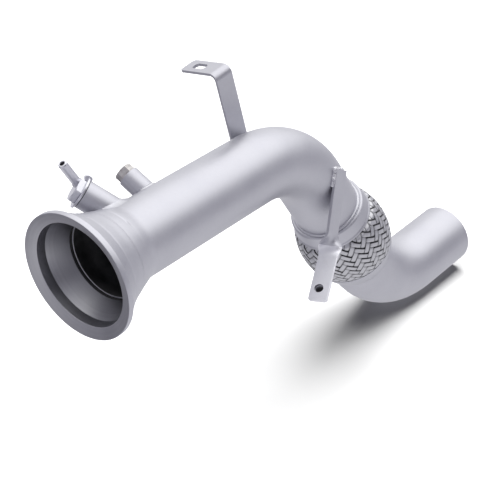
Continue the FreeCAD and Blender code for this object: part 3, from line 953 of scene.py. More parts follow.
@dataclass
class InletFlange:
    """Turned flange: clamp lip, dished face, conical throat and flared back."""

    palette: Palette
    lip_radius: float = 60.9
    lip_width: float = 5.5
    lip_draft: float = 0.1
    lip_bevel: tuple[float, float] = (1.3, 2.2)
    flare_radius: float = 49.8
    flare_end: float = 22.0
    step_top: tuple[float, float] = (3.2, 1.9)
    step_foot: tuple[float, float] = (2.6, 0.9)
    waist: tuple[float, float] = (31.3, 45.5)
    neck_radius: float = 43.1
    length: float = 38.5
    socket_radius: float = 39.75
    face_inner: float = 49.9
    face_depth: float = 3.7
    band: tuple[float, float] = (13.0, 49.2)
    throat_radius: float = 39.2
    throat_end: float = 33.1
    groove_radius: float = 40.6
    groove_end: float = 36.0
    groove_play: float = 0.1
    groove_rise: float = 0.3
    sides: int = 256
    weld_end: tuple[float, float] = (53.0, 38.3)
    weld_foot: float = 45.0
    weld_sink: float = 0.6
    weld_lip: float = 1.0
    weld_hollow: float = 0.2
    weld_sides: int = 220
    ripples: int = 74
    ripple_depth: float = 0.03

    def profile(self) -> list[tuple[float, float, float]]:
        """Section of the flange from its front rim round to its bore.

        Returns:
            The corners, each a station, a radius and the length that its rounding takes.
        """
        bevel, drop = self.lip_bevel
        top, foot = self.step_top, self.step_foot
        return [
            (0.0, self.lip_radius - self.lip_draft, 0.7),
            (self.lip_width, self.lip_radius, 0.5),
            (self.lip_width + bevel, self.lip_radius - drop, 0.3),
            (self.flare_end - top[0], self.flare_radius + top[1], 0.5),
            (self.flare_end - foot[0], self.flare_radius + foot[1], 0.4),
            (self.flare_end, self.flare_radius, 1.6),
            (*self.waist, 3.0),
            (self.length, self.neck_radius, 0.4),
            (self.length, self.socket_radius, 0.2),
            (self.groove_end, self.socket_radius, 0.0),
            (self.groove_end, self.groove_radius, 0.2),
            (self.throat_end, self.groove_radius, 0.2),
            (self.throat_end, self.throat_radius, 0.3),
            (*self.band, 0.5),
            (self.face_depth, self.face_inner, 0.45),
        ]

    def flange(self) -> None:
        """Makes the flange: turned at the front, blasted behind, with painted shade in its groove.
        """
        shell = Shell()
        profile = eased(self.profile())
        sides = self.sides
        shell.net(turned(profile, ORIGIN, X_AXIS, sides), wrap=True)
        neck = next(i for i, (station, radius) in enumerate(profile)
                    if station >= self.length and radius < self.neck_radius)
        shell.paint(0, neck * sides, 1)
        # Rings of the groove behind the throat get painted shade, a near-black finish.
        start, low = self.throat_end - self.groove_play, self.throat_radius + self.groove_rise
        for i, (station, radius) in enumerate(profile):
            if i > neck and station > start and radius > low:
                shell.paint(i * sides, (i + 1) * sides, 2)
        finishes = [self.palette.turned, self.palette.blasted, self.palette.painted_shade]
        shell.piece("inlet_flange_ring", finishes, Slot.MACHINED, ["inlet_flange"])

    def weld(self) -> None:
        """Makes the weld that runs the flange's back into the tube."""
        end, low = self.weld_end
        root = self.socket_radius - self.weld_sink
        middle = 0.5 * (self.length + end)
        section = [
            (self.length, root, 0.0),
            (self.length, self.neck_radius, 0.2),
            (middle, 0.5 * (self.neck_radius + low) - self.weld_hollow, 4.0),
            (end, low, 0.5),
            (end - self.weld_lip, low - self.weld_sink, 0.2),
            (self.weld_foot, root, 0.0),
        ]
        rows = turned(eased(section), ORIGIN, X_AXIS, self.weld_sides)
        bead = Shell()
        bead.net([rippled(row, ORIGIN, X_AXIS, self.ripple_depth, self.ripples) for row in rows],
                 wrap=True)
        bead.piece("flange_weld_bead", [self.palette.blasted], Slot.WELD, ["flange_weld"])

    def build(self) -> None:
        """Makes the flange and the weld behind it."""
        self.flange()
        self.weld()


def rippled(row: list[Vector], origin: Vector, axis: Vector, depth: float,
            count: int) -> list[Vector]:
    """Ring of a bead with the ripples of a torch's steps and a little unevenness.

    Args:
        row: Points of the ring.
        origin: A point on the ring's axis.
        axis: The ring's axis.
        depth: Depth of the ripples.
        count: Number of ripples round the ring.

    Returns:
        The moved points.
    """
    moved = []
    for i, point in enumerate(row):
        ripple = abs(math.sin(math.pi * i / len(row) * count)) - RIPPLE_MEAN
        uneven = noise.noise(point * UNEVEN_GRAIN) * UNEVEN_SHARE
        out = (point - origin) - axis * (point - origin).dot(axis)
        moved.append(point + out.normalized() * depth * (ripple + uneven))
    return moved


@dataclass
class FlexSection:
    """Flexible section: two collars, the wire braid between them and their welds."""

    run: TubeRun
    palette: Palette
    collar_start: float = 106.2
    collar_radius: float = 40.0
    collar_ease: float = 1.5
    collar_wall: float = 1.5
    tube_gap: float = 0.02
    rim_radius: float = 42.6
    rim_station: float = 124.8
    rim_foot: tuple[float, float] = (3.4, 1.0)
    rim_crest: float = 2.0
    rim_draft: float = 0.1
    crimp_radius: float = 37.3
    neck_length: float = 3.0
    bell_steps: int = 14
    braid_end: float = 182.0
    braid_bulge: float = 9.9
    bulge_power: float = 0.8
    end_radius: float = 37.6
    end_station: float = 204.5
    ribbons: int = 36
    braid_angle: float = 46.0
    angle_station: float = 150.0
    ribbon_cover: float = 0.93
    ribbon_thickness: float = 0.36
    ribbon_shares: tuple[float, ...] = (-1.0, -0.86, -0.3, 0.3, 0.86, 1.0, 0.8, -0.8)
    ribbon_sinks: tuple[float, ...] = (0.55, 0.12, 0.0, 0.0, 0.12, 0.55, 1.0, 1.0)
    ribbon_ends: tuple[float, float] = (5.0, 3.0)
    ribbon_step: float = 0.14
    passes: float = 2.0
    wave: float = 0.46
    slope: float = 0.24
    shaded_side: float = -0.8
    deep_shade: tuple[float, float] = (0.05, 0.75)
    faint_shade: tuple[float, float] = (0.45, 0.85)
    fade_start: float = 152.0
    fade_length: float = 24.0
    weave_skin: float = 0.1
    tuck_depth: float = 0.15
    tuck_start: float = 0.2
    tuck_length: float = 4.0
    tuck_slope: float = 0.10
    bed_length: float = 3.0
    bed_depth: float = 0.4
    front_bead: float = 2.1
    rear_bead: float = 1.8
    bead_steps: int = 14
    bead_sides: int = 264
    ripples: int = 66
    ripple_depth: float = 0.16

    def middle(self) -> tuple[Vector, Vector]:
        """Origin and direction of the leg that the section lies on."""
        return Vector(self.run.corners[0]), self.run.legs()[1]

    def barrel(self, station: float) -> float:
        """Outside radius of the braid and the rear collar.

        Args:
            station: Station on the middle leg.

        Returns:
            The radius.
        """
        share = (station - self.rim_station) / (self.end_station - self.rim_station)
        share = min(max(share, 0.0), 1.0)
        level = self.rim_radius + (self.end_radius - self.rim_radius) * share
        return level + self.braid_bulge * math.sin(math.pi * share) ** self.bulge_power

    def front_collar(self) -> None:
        """Makes the front cup with its rolled rim."""
        tube, rim = self.run.radius + self.tube_gap, self.rim_station
        cavity = self.collar_start + self.neck_length
        foot, drop = self.rim_foot
        section = [
            (self.collar_start, tube, 0.0),
            (self.collar_start, self.collar_radius - self.collar_ease, 0.6),
            (self.collar_start + self.collar_ease, self.collar_radius, 1.2),
            (rim - foot, self.rim_radius - drop, 1.0),
            (rim - self.rim_crest, self.rim_radius, 0.8),
            (rim, self.rim_radius - self.rim_draft, 0.9),
            (rim, self.rim_radius - self.collar_wall, 0.3),
            (cavity, self.crimp_radius, 0.3),
            (cavity, tube, 0.0),
        ]
        shell = Shell()
        shell.net(turned(eased(section), *self.middle()), wrap=True)
        shell.piece("front_collar_cup", [self.palette.blasted], Slot.BLASTED,
                    ["flex_front_collar"])

    def rear_collar(self) -> None:
        """Makes the rear bell that closes on the braid."""
        tube, steps = self.run.radius + self.tube_gap, self.bell_steps
        span = self.end_station - self.braid_end
        stations = [self.braid_end + span * i / steps for i in range(steps)]
        outer = [(station, self.barrel(station), 0.0) for station in stations]
        outer[0] = (self.braid_end, self.barrel(self.braid_end), 0.5)
        outer.append((self.end_station, self.end_radius, 0.4))
        neck = self.end_station - self.neck_length
        inner = [(station, radius - self.collar_wall, 0.0)
                 for station, radius, _ in reversed(outer[:-1]) if station < neck]
        section = outer + [(self.end_station, tube, 0.0), (neck, tube, 0.0)] + inner
        shell = Shell()
        shell.net(turned(eased(section), *self.middle()), wrap=True)
        shell.piece("rear_collar_bell", [self.palette.blasted], Slot.BLASTED,
                    ["flex_rear_collar"])

    def weave_height(self, lane: float, crossing: float, sign: float) -> float:
        """Height of a ribbon over the middle of the weave, from -1 to 1.

        Args:
            lane: Number of the ribbon.
            crossing: Position along it, a whole number at each crossing.
            sign: One for the first family of ribbons and minus one for the second.

        Returns:
            The height.
        """
        over, slope = self.passes, self.slope
        place = (lane + crossing + 0.5) % (2 * over)
        if place < slope:
            level = blend(0.0, 1.0, place / slope)
        elif place < over - slope:
            level = 1.0
        elif place < over + slope:
            level = blend(1.0, -1.0, (place - over + slope) / (2 * slope))
        elif place < 2 * over - slope:
            level = -1.0
        else:
            level = blend(-1.0, 0.0, (place - 2 * over + slope) / slope)
        return sign * level

    def edge_shade(self, station: float, share: float, sign: float) -> float:
        """Painted shade beside a ribbon, which fades to the rear.

        Args:
            station: Station on the middle leg.
            share: Place across the ribbon, from -1 to 1.
            sign: One for the first family of ribbons and minus one for the second.

        Returns:
            One where the ribbon is bare, and less where it is darkened with painted shade.
        """
        if share > self.shaded_side:
            return 1.0
        low, high = self.deep_shade if sign < 0 else self.faint_shade
        return blend(low, high, (station - self.fade_start) / self.fade_length)

    def ribbon(self, shell: Shell, lane: int, sign: float) -> None:
        """Adds one ribbon of the weave.

        Args:
            shell: Shell of the whole braid.
            lane: Number of the ribbon in its family.
            sign: One for the first family and minus one for the second.
        """
        origin, axis = self.middle()
        side, other = square_frame(axis)
        pitch = TAU / self.ribbons
        twist = math.tan(math.radians(self.braid_angle)) / self.barrel(self.angle_station)
        half = 0.5 * self.ribbon_cover
        start = self.rim_station - self.ribbon_ends[0]
        end = self.braid_end + self.ribbon_ends[1]
        first = 2 * twist * (start - self.rim_station) / pitch
        last = 2 * twist * (end - self.rim_station) / pitch
        count = int((last - first) / self.ribbon_step)
        across = shell.values.setdefault(ACROSS, [])
        weave_shades = shell.values.setdefault(WEAVE_SHADE, [])
        rows = []
        for i in range(count + 1):
            along = first + (last - first) * i / count
            station = self.rim_station + along * pitch / (2 * twist)
            row = []
            for share, sink in zip(self.ribbon_shares, self.ribbon_sinks):
                offset = half * share
                crossing = lane + sign * along + offset
                turn = pitch * (lane + offset) + sign * twist * (station - self.rim_station)
                level = self.weave_height(lane, crossing, sign)
                radius = self.top_radius(station) + self.wave * (level - 1.0)
                radius -= sink * self.ribbon_thickness
                out = side * math.cos(turn) + other * math.sin(turn)
                row.append(origin + axis * station + out * radius)
                # Painted shade: darker where the ribbon dips under, sinks at its edges or lies on
                # its shaded side.
                shade = self.edge_shade(station, share, sign)
                across.append(share)
                weave_shades.append((0.5 + 0.5 * level) * (1 - 0.5 * sink) * shade)
            rows.append(row)
        shell.capped(rows)

    def top_radius(self, station: float) -> float:
        """Top of the weave, tucked under the front rim and bedded in the rear bell.

        Args:
            station: Station on the middle leg.

        Returns:
            The radius.
        """
        top = self.barrel(station) - self.weave_skin
        if station < self.rim_station + self.tuck_length:
            share = station - self.rim_station + self.tuck_start
            tuck = self.rim_radius - self.collar_wall - self.tuck_depth
            front = tuck + self.tuck_slope * (station - self.rim_station)
            top = blend(front, top, share / (self.tuck_length + self.tuck_start))
        if station > self.braid_end - self.bed_length:
            share = (station - self.braid_end + self.bed_length) / self.bed_length
            top = blend(top, self.barrel(station) - self.bed_depth, share)
        return top

    def braid(self) -> None:
        """Makes the weave, two families of ribbons that pass over two and under two."""
        shell = Shell()
        for lane in range(self.ribbons):
            self.ribbon(shell, lane, 1.0)
            self.ribbon(shell, lane, -1.0)
        shell.piece("wire_braid", [self.palette.woven], Slot.BRAID, ["flex_braid"],
                    sharp=WEAVE_SHARP_ANGLE)

    def weld(self, station: float, bead: float, name: str, node: str) -> None:
        """Makes a round bead about the tube.

        Args:
            station: Station of the bead on the middle leg.
            bead: Radius of the bead.
            name: Name of the piece.
            node: Node that it replaces.
        """
        centre, axis = self.run.on_middle(station), self.run.legs()[1]
        rows = []
        for i in range(self.bead_steps):
            turn = TAU * i / self.bead_steps
            radius = self.run.radius + bead * math.sin(turn)
            row = ring(centre + axis * bead * math.cos(turn), axis, radius, self.bead_sides)
            depth = self.ripple_depth * max(math.sin(turn), 0.0)
            rows.append(rippled(row, centre, axis, depth, self.ripples))
        shell = Shell()
        shell.net(rows, wrap=True)
        shell.piece(name, [self.palette.soft_weld], Slot.WELD, [node])

    def build(self) -> None:
        """Makes the whole section."""
        self.front_collar()
        self.rear_collar()
        self.braid()
        self.weld(self.collar_start, self.front_bead, "front_collar_bead", "front_collar_weld")
        self.weld(self.end_station, self.rear_bead, "rear_collar_bead", "rear_collar_weld")
        # The bellows and liner get the dark sheet finish: painted shade, seen through the braid's
        # gaps.
        for name in ("flex_bellows", "flex_liner"):
            dress_node(name, self.palette.shaded_sheet)


def dress_node(name: str, material: bpy.types.Material) -> None:
    """Gives a node of the construction its finish.

    Args:
        name: Name of the node.
        material: Its finish.
    """
    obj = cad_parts[name]
    obj.data.materials.clear()
    obj.data.materials.append(material)
    log.info("%s: %d faces of the construction", name, len(obj.data.polygons))


@dataclass(frozen=True)
class HexHead:
    """Sizes of a hexagonal head with turned-down corners, on its shank."""

    across: float
    height: float
    chamfer: float
    clock: float
    shank_length: float = 12.0
    shank_play: float = 0.1
    shank_tip: float = 0.5
    flat_inset: float = 0.35
    corner_inset: float = 0.12
    edge: float = 0.25
    top_inset: float = 0.1
    sides: int = 180


@dataclass
class SidePort:
    """What the two bosses on the first leg share: an axis and a stub coped to the tube."""

    run: TubeRun
    palette: Palette
    station: float
    around: float
    lean: float
    radius: float
    bore: float
    height: float
    foot_sink: float = 0.8
    mouth_ease: float = 0.4
    round_share: float = 0.3
    weld_steps: int = 9
    weld_sway: tuple[float, float, float] = (0.16, 0.12, 0.05)
    sway_turn: float = 1.7
    weld_overlap: float = 0.3
    weld_foot: float = -0.25
    weld_root: tuple[float, float] = (1.2, -1.0)
    count: int = 120

    def axis(self) -> tuple[Vector, Vector]:
        """Origin and outward axis."""
        return self.run.side_axis(self.station, self.around, self.lean)

    def angles(self) -> list[float]:
        """Clock angles of a ring's points, in degrees."""
        return [360.0 * i / self.count for i in range(self.count)]

    def clock(self, angle: float) -> Vector:
        """Direction across the axis.

        Args:
            angle: Clock angle from the tube's run, in degrees.

        Returns:
            The direction.
        """
        leg, axis = self.run.legs()[0], self.axis()[1]
        along = (leg - axis * leg.dot(axis)).normalized()
        turn = math.radians(angle)
        return along * math.cos(turn) + axis.cross(along) * math.sin(turn)

    def saddle(self, radius: float, angle: float) -> Vector:
        """Point where a side line of the stub meets the tube's outside.

        Args:
            radius: Distance of the line from the stub's axis.
            angle: Clock angle of the line.

        Returns:
            The point.
        """
        origin, axis = self.axis()
        leg, start = self.run.legs()[0], self.run.start()
        line = origin + self.clock(angle) * radius
        side = (line - start) - leg * (line - start).dot(leg)
        slope = axis - leg * axis.dot(leg)
        a, b = slope.dot(slope), side.dot(slope)
        c = side.dot(side) - self.run.radius ** 2
        return line + axis * ((-b + math.sqrt(b * b - a * c)) / a)

    def circle(self, height: float, radius: float) -> list[Vector]:
        """Ring about the axis at a height."""
        origin, axis = self.axis()
        return [origin + axis * height + self.clock(angle) * radius for angle in self.angles()]

    def foot(self, radius: float) -> list[Vector]:
        """Ring of the coped foot, sunk a little into the tube's wall."""
        drop = self.axis()[1] * self.foot_sink
        return [self.saddle(radius, angle) - drop for angle in self.angles()]

    def stub(self, name: str, node: str, ease: float, gap: bool) -> None:
        """Makes the stub with an eased mouth.

        Args:
            name: Name of the piece.
            node: Node that it replaces.
            ease: Size of the chamfer at its mouth.
            gap: Whether the chamfer under a washer is painted near-black as shade.
        """
        soft = self.round_share * ease
        rows = [
            self.foot(self.radius),
            self.circle(self.height - ease, self.radius),
            self.circle(self.height - soft, self.radius - soft),
            self.circle(self.height, self.radius - ease),
            self.circle(self.height, self.bore + self.mouth_ease),
            self.circle(self.height - self.mouth_ease, self.bore),
            self.foot(self.bore),
        ]
        shell = Shell()
        shell.net(rows, wrap=True)
        # Under a washer the mouth's chamfer gets painted shade.
        if gap:
            shell.paint(self.count, 3 * self.count, 1)
        finishes = [self.palette.blasted, self.palette.painted_shade]
        shell.piece(name, finishes, Slot.BLASTED, [node])

    def fillet(self, name: str, node: str, rise: float, spread: float, bulge: float,
               material: bpy.types.Material) -> None:
        """Makes the fillet weld round the foot.

        Args:
            name: Name of the piece.
            node: Node that it replaces.
            rise: Leg of the fillet up the stub.
            spread: Leg of the fillet out along the tube.
            bulge: How far the face of the weld stands out, as a share of its corner.
            material: Its finish.
        """
        axis, steps = self.axis()[1], self.weld_steps
        lumps, grain, sway = self.weld_sway
        inset, depth = self.weld_root
        columns = []
        for i, angle in enumerate(self.angles()):
            root = self.saddle(self.radius, angle)
            out = self.clock(angle)
            uneven = 1.0 + lumps * noise.noise(root * grain) + sway * math.sin(i * self.sway_turn)
            top = root + axis * rise * uneven - out * self.weld_overlap
            low = self.run.seated(root + out * spread * uneven, self.weld_foot)
            crown = root + (axis + out).normalized() * bulge * uneven
            curve = []
            for k in range(steps + 1):
                share = k / steps
                curve.append(top.lerp(crown, share).lerp(crown.lerp(low, share), share))
            curve.append(self.run.seated(root - out * inset, depth))
            columns.append(curve)
        rows = [list(row) for row in zip(*columns)]
        shell = Shell()
        shell.net(rows, wrap=True)
        shell.piece(name, [material], Slot.WELD, [node], sharp=WELD_SHARP_ANGLE)

    def hexagon(self, head: HexHead, start: float) -> Shell:
        """Hexagonal head on its shank.

        Args:
            head: Sizes of the head.
            start: Height at which the head begins.

        Returns:
            The shell with the head.
        """
        origin, axis = self.axis()
        corner, flat = head.across / math.sqrt(3), head.across / 2 - head.flat_inset
        shank, tip = self.bore - head.shank_play, start - head.shank_length
        top = start + head.height
        rings: Rows = [[] for _ in range(7)]
        for i in range(head.sides):
            angle = 360.0 * i / head.sides
            out = self.clock(angle + head.clock)
            side = (head.across / 2) / math.cos(math.radians(angle % 60.0 - 30.0))
            side = min(side, corner - head.corner_inset)
            drop = head.chamfer * max(side - flat, 0.0) / (corner - flat)
            spots = (
                (tip, shank - head.shank_tip), (tip + head.shank_tip, shank), (start, shank),
                (start, side - head.edge), (start + head.edge, side), (top - drop, side),
                (top, flat - head.top_inset),
            )
            for row, (height, radius) in zip(rings, spots):
                row.append(origin + axis * height + out * radius)
        shell = Shell()
        shell.capped(rings)
        return shell


@dataclass
class PressureTakeoff:
    """Stub tube with its washer, hexagonal fitting and leaning hose tube."""

    run: TubeRun
    palette: Palette
    washer_thickness: float = 2.0
    washer_radius: float = 15.5
    washer_play: float = 0.1
    washer_ease: float = 0.45
    tab_radius: float = 4.0
    tab_reach: float = 13.9
    tab_width: float = 6.0
    tab_bulk: float = 0.75
    tab_ease: float = 0.5
    tab_sweep: tuple[int, int, int] = (-60, 241, 12)
    tab_clock: float = -38.4
    head: HexHead = HexHead(across=22.0, height=6.0, chamfer=1.2, clock=-128.4)
    tube_radius: float = 4.25
    tube_bore: float = 2.2
    tube_length: float = 28.5
    tube_sink: float = 2.0
    tube_lean: float = 39.2
    tube_lean_clock: float = -103.0
    mouth_round: float = 0.6
    braze: tuple[float, float] = (0.6, 0.9)
    braze_end: tuple[float, float] = (2.6, 0.05)
    bore_rim: float = 0.2
    bore_step: float = 6.0
    # Stations of a near-black disc down the hose tube's bore, painted shade
    floor: tuple[float, float] = (5.0, 5.4)
    floor_gap: float = 0.02
    root_offset: float = 5.9
    root_clock: float = -48.1
    tube_sides: int = 64
    disc_sides: int = 32

    def port(self) -> SidePort:
        """The stub under the fitting."""
        return SidePort(self.run, self.palette, station=89.1, around=50.7, lean=29.1,
                        radius=13.5, bore=9.0, height=68.0)

    def washer(self, port: SidePort) -> None:
        """Makes the washer with its turned-up tab.

        Args:
            port: The stub that it lies on.
        """
        origin, axis = port.axis()
        low, high = port.height, port.height + self.washer_thickness
        hole, rim = port.bore + self.washer_play, self.washer_radius
        corners = [(low, hole), (low, rim), (high, rim), (high, hole)]
        section = eased(corners, self.washer_ease, 3)
        shell = Shell()
        shell.net([port.circle(station, radius) for station, radius in section], wrap=True)
        out = port.clock(self.tab_clock)
        across = axis.cross(out)
        half, ease = self.tab_width / 2, self.tab_ease
        base = origin + axis * (high - ease) + out * self.tab_reach
        turns = [math.radians(angle) for angle in range(*self.tab_sweep)]
        tab = []
        for place, inset in ((-half, ease), (-half + ease, 0.0), (half - ease, 0.0), (half, ease)):
            middle, radius = base + across * place, self.tab_radius - inset
            tab.append([middle + (out * math.cos(t) * self.tab_bulk + axis * math.sin(t)) * radius
                        for t in turns])
        shell.capped(tab)
        shell.piece("sealing_washer", [self.palette.plated], Slot.PLATED, ["pressure_washer"])

    def fitting(self, port: SidePort) -> None:
        """Makes the hexagonal fitting."""
        shell = port.hexagon(self.head, port.height + self.washer_thickness)
        shell.piece("hex_fitting", [self.palette.plated], Slot.PLATED, ["pressure_fitting"],
                    sharp=HEX_SHARP_ANGLE)

    def hose_tube(self, port: SidePort) -> None:
        """Makes the hose tube with its rounded mouth, brazed root and painted shade in its bore.

        Args:
            port: The stub under the fitting.
        """
        origin, axis = port.axis()
        face = port.height + self.washer_thickness + self.head.height
        root = origin + axis * face + port.clock(self.root_clock) * self.root_offset
        tilt = math.radians(self.tube_lean)
        lean = port.clock(self.tube_lean_clock)
        way = axis * math.cos(tilt) + lean * math.sin(tilt)
        length, outer, bore = self.tube_length, self.tube_radius, self.tube_bore
        soft, rim = self.mouth_round, self.bore_rim
        section = [
            (-self.tube_sink, outer, 0.2),
            (self.braze[0], outer + self.braze[1], 0.6),
            (self.braze_end[0], outer + self.braze_end[1], 1.2),
            (length - 2 * soft, outer, 0.3),
            (length, outer - soft, 0.5),
            (length, bore + rim, 0.2),
            (length - soft, bore, 0.3),
            (self.bore_step, bore, 0.0),
            (-self.tube_sink, bore, 0.2),
        ]
        shell = Shell()
        shell.net(turned(eased(section), root, way, self.tube_sides), wrap=True)
        shell.piece("hose_spigot", [self.palette.plated], Slot.PLATED, ["hose_tube"])
        # A near-black disc down the bore stands in for the shade there: painted shade.
        low, high = self.floor
        disc = [(low, bore + self.floor_gap), (high, bore + self.floor_gap), (high, rim), (low, rim)]
        cup = Shell()
        cup.net(turned(disc, root, way, self.disc_sides), wrap=True)
        cup.piece("hose_spigot_painted_shade_disc", [self.palette.painted_shade], Slot.PLATED)

    def build(self) -> None:
        """Makes the take-off."""
        port = self.port()
        port.stub("takeoff_stub", "pressure_boss", ease=1.0, gap=True)
        port.fillet("takeoff_fillet", "boss_weld", rise=4.6, spread=7.5, bulge=1.2,
                    material=self.palette.soft_weld)
        self.washer(port)
        self.fitting(port)
        self.hose_tube(port)


@dataclass
class SensorPort:
    """Sensor bung with its hexagonal blanking plug."""

    run: TubeRun
    palette: Palette
    head: HexHead = HexHead(across=16.0, height=7.6, chamfer=1.1, clock=-102.3)

    def build(self) -> None:
        """Makes the bung, its weld and the plug."""
        port = SidePort(self.run, self.palette, station=123.3, around=59.5, lean=7.4,
                        radius=10.5, bore=6.2, height=55.8)
        port.stub("sensor_bung_body", "sensor_bung", ease=0.7, gap=False)
        port.fillet("sensor_bung_bead", "bung_weld", rise=1.7, spread=2.2, bulge=1.5,
                    material=self.palette.weld)
        shell = port.hexagon(self.head, port.height)
        shell.piece("blanking_plug", [self.palette.plug], Slot.PLUG, ["bung_plug"],
                    sharp=HEX_SHARP_ANGLE)


@dataclass(frozen=True)
class Place:
    """Where a strap's section lies: a point and a turn."""

    point: Vector
    turn: Quaternion

    @staticmethod
    def of(point: Triple, turns: Triple) -> "Place":
        """Place from a point and its yaw, pitch and roll in degrees.

        Args:
            point: The point.
            turns: The angles, taken about Z, then Y, then X.

        Returns:
            The place.
        """
        yaw, pitch, roll = (math.radians(angle) for angle in turns)
        matrix = (Matrix.Rotation(yaw, 3, "Z") @ Matrix.Rotation(pitch, 3, "Y")
                  @ Matrix.Rotation(roll, 3, "X"))
        return Place(Vector(point), matrix.to_quaternion())

    def at(self, x: float, y: float, z: float) -> Vector:
        """Point given in the place's own axes."""
        return self.point + self.way(x, y, z)

    def way(self, x: float, y: float, z: float) -> Vector:
        """Direction given in the place's own axes."""
        return self.turn @ Vector((x, y, z))


@dataclass
class Strap:
    """What both brackets share: flat bar with eased edges and one rounded end."""

    run: TubeRun
    palette: Palette
    width: float = 20.0
    thickness: float = 3.0
    corner: float = 3.0
    edge: float = 0.55
    edge_steps: int = 3
    face_steps: int = 10
    tip_steps: int = 8

    def section(self, half: float, put: Callable[[float, float], Vector],
                dent: Callable[[float], float] = lambda share: 0.0) -> list[Vector]:
        """Rounded rectangle of the strap.

        Args:
            half: Half of the strap's width.
            put: Turns a place across and through the strap into a point.
            dent: How far both faces are pressed back, by the share across from -1 to 1.

        Returns:
            The points of the section.
        """
        thick, steps = self.thickness, self.face_steps
        corners = [(-half, 0.0), (half, 0.0), (half, thick), (-half, thick)]
        outline = eased(corners, self.edge, self.edge_steps)
        points = []
        for i, (x, y) in enumerate(outline):
            ahead = outline[(i + 1) % len(outline)][0]
            parts = steps if abs(ahead - x) > half else 1
            points.extend((x + (ahead - x) * k / parts, y) for k in range(parts))
        return [put(x, y + dent(x / half)) for x, y in points]

    def narrowing(self, left: float) -> float:
        """Half width of the strap near its rounded end.

        Args:
            left: Distance from the end.

        Returns:
            The half width.
        """
        if left >= self.corner:
            return self.width / 2
        drop = self.corner - math.sqrt(max(self.corner ** 2 - (self.corner - left) ** 2, 0.0))
        return self.width / 2 - drop

    def lefts(self, flat: float, steps: int) -> list[float]:
        """Distances from the rounded end, even on the flat and close together at the tip.

        Args:
            flat: Length of the flat stretch with its end.
            steps: Number of even steps.

        Returns:
            The distances, the longest first.
        """
        even = [flat - (flat - self.corner) * i / steps for i in range(steps)]
        turns = [math.pi / 2 * i / self.tip_steps for i in range(self.tip_steps + 1)]
        return even + [self.corner * (1 - math.sin(turn)) for turn in turns]


@dataclass
class UpperBracket(Strap):
    """Folded strap with a slotted tab, on the far side of the bend, and its weld."""

    point: Triple = (243.5, 36.9, 84.2)
    turns: Triple = (-8.6, -12.3, -3.2)
    leg: float = 99.0
    tab: float = 58.0
    droop: float = 14.8
    fold_radius: float = 7.5
    slot_width: float = 8.4
    slot_length: float = 19.5
    slot_reach: float = 37.0
    leg_steps: int = 30
    fold_steps: int = 16
    tab_steps: int = 8
    leg_sink: float = 0.5
    dab_size: float = 2.3
    dab_steps: int = 12
    dab_sink: float = 0.2

    def strap(self) -> None:
        """Makes the strap and cuts its slot."""
        place = Place.of(self.point, self.turns)
        droop, fold = math.radians(self.droop), self.fold_radius
        turn = math.pi / 2 + droop
        back = fold * math.tan(turn / 2)
        half = self.width / 2
        stops = [(0.0, -self.leg + i / self.leg_steps * (self.leg - back), math.pi, half)
                 for i in range(self.leg_steps + 1)]
        for i in range(1, self.fold_steps + 1):
            angle = math.pi - turn * i / self.fold_steps
            stops.append((fold + fold * math.cos(angle), -back + fold * math.sin(angle), angle,
                          half))
        start, tab_angle = Vector(stops[-1][:2]), math.pi - turn
        along = Vector((math.cos(droop), -math.sin(droop)))
        flat = self.tab - back
        for left in self.lefts(flat, self.tab_steps)[1:]:
            stops.append((*(start + along * (flat - left)), tab_angle, self.narrowing(left)))
        rows = []
        for y, z, angle, wide in stops:
            rows.append(self.section(wide, lambda x, t: self.run.off_bend(
                place.at(x, y - math.cos(angle) * t, z - math.sin(angle) * t), self.leg_sink)))
        shell = Shell()
        shell.capped(rows)
        obj = shell.piece("upper_bracket_strap", [self.palette.blasted], Slot.BLASTED,
                          ["upper_bracket"])
        through = Vector((-math.cos(tab_angle), -math.sin(tab_angle)))
        centre = start + along * (self.slot_reach - back) + through * (self.thickness / 2)
        pierce(obj, place.at(0.0, *centre), place.way(0.0, *through), place.way(0.0, *along),
               self.slot_width / 2, self.slot_length - self.slot_width, self.thickness)

    def weld(self) -> None:
        """Makes the dabs along the leg's end."""
        place, half = Place.of(self.point, self.turns), self.width / 2
        seam = [place.at(-half + i * self.width / self.dab_steps, self.thickness / 2, -self.leg)
                for i in range(self.dab_steps + 1)]
        dabs = Dabs(self.palette, self.dab_size)
        dabs.piece([self.run.off_bend(point, self.dab_sink) for point in seam],
                   "upper_bracket_dabs", "upper_bracket_weld")

    def build(self) -> None:
        """Makes the strap and its weld."""
        self.strap()
        self.weld()


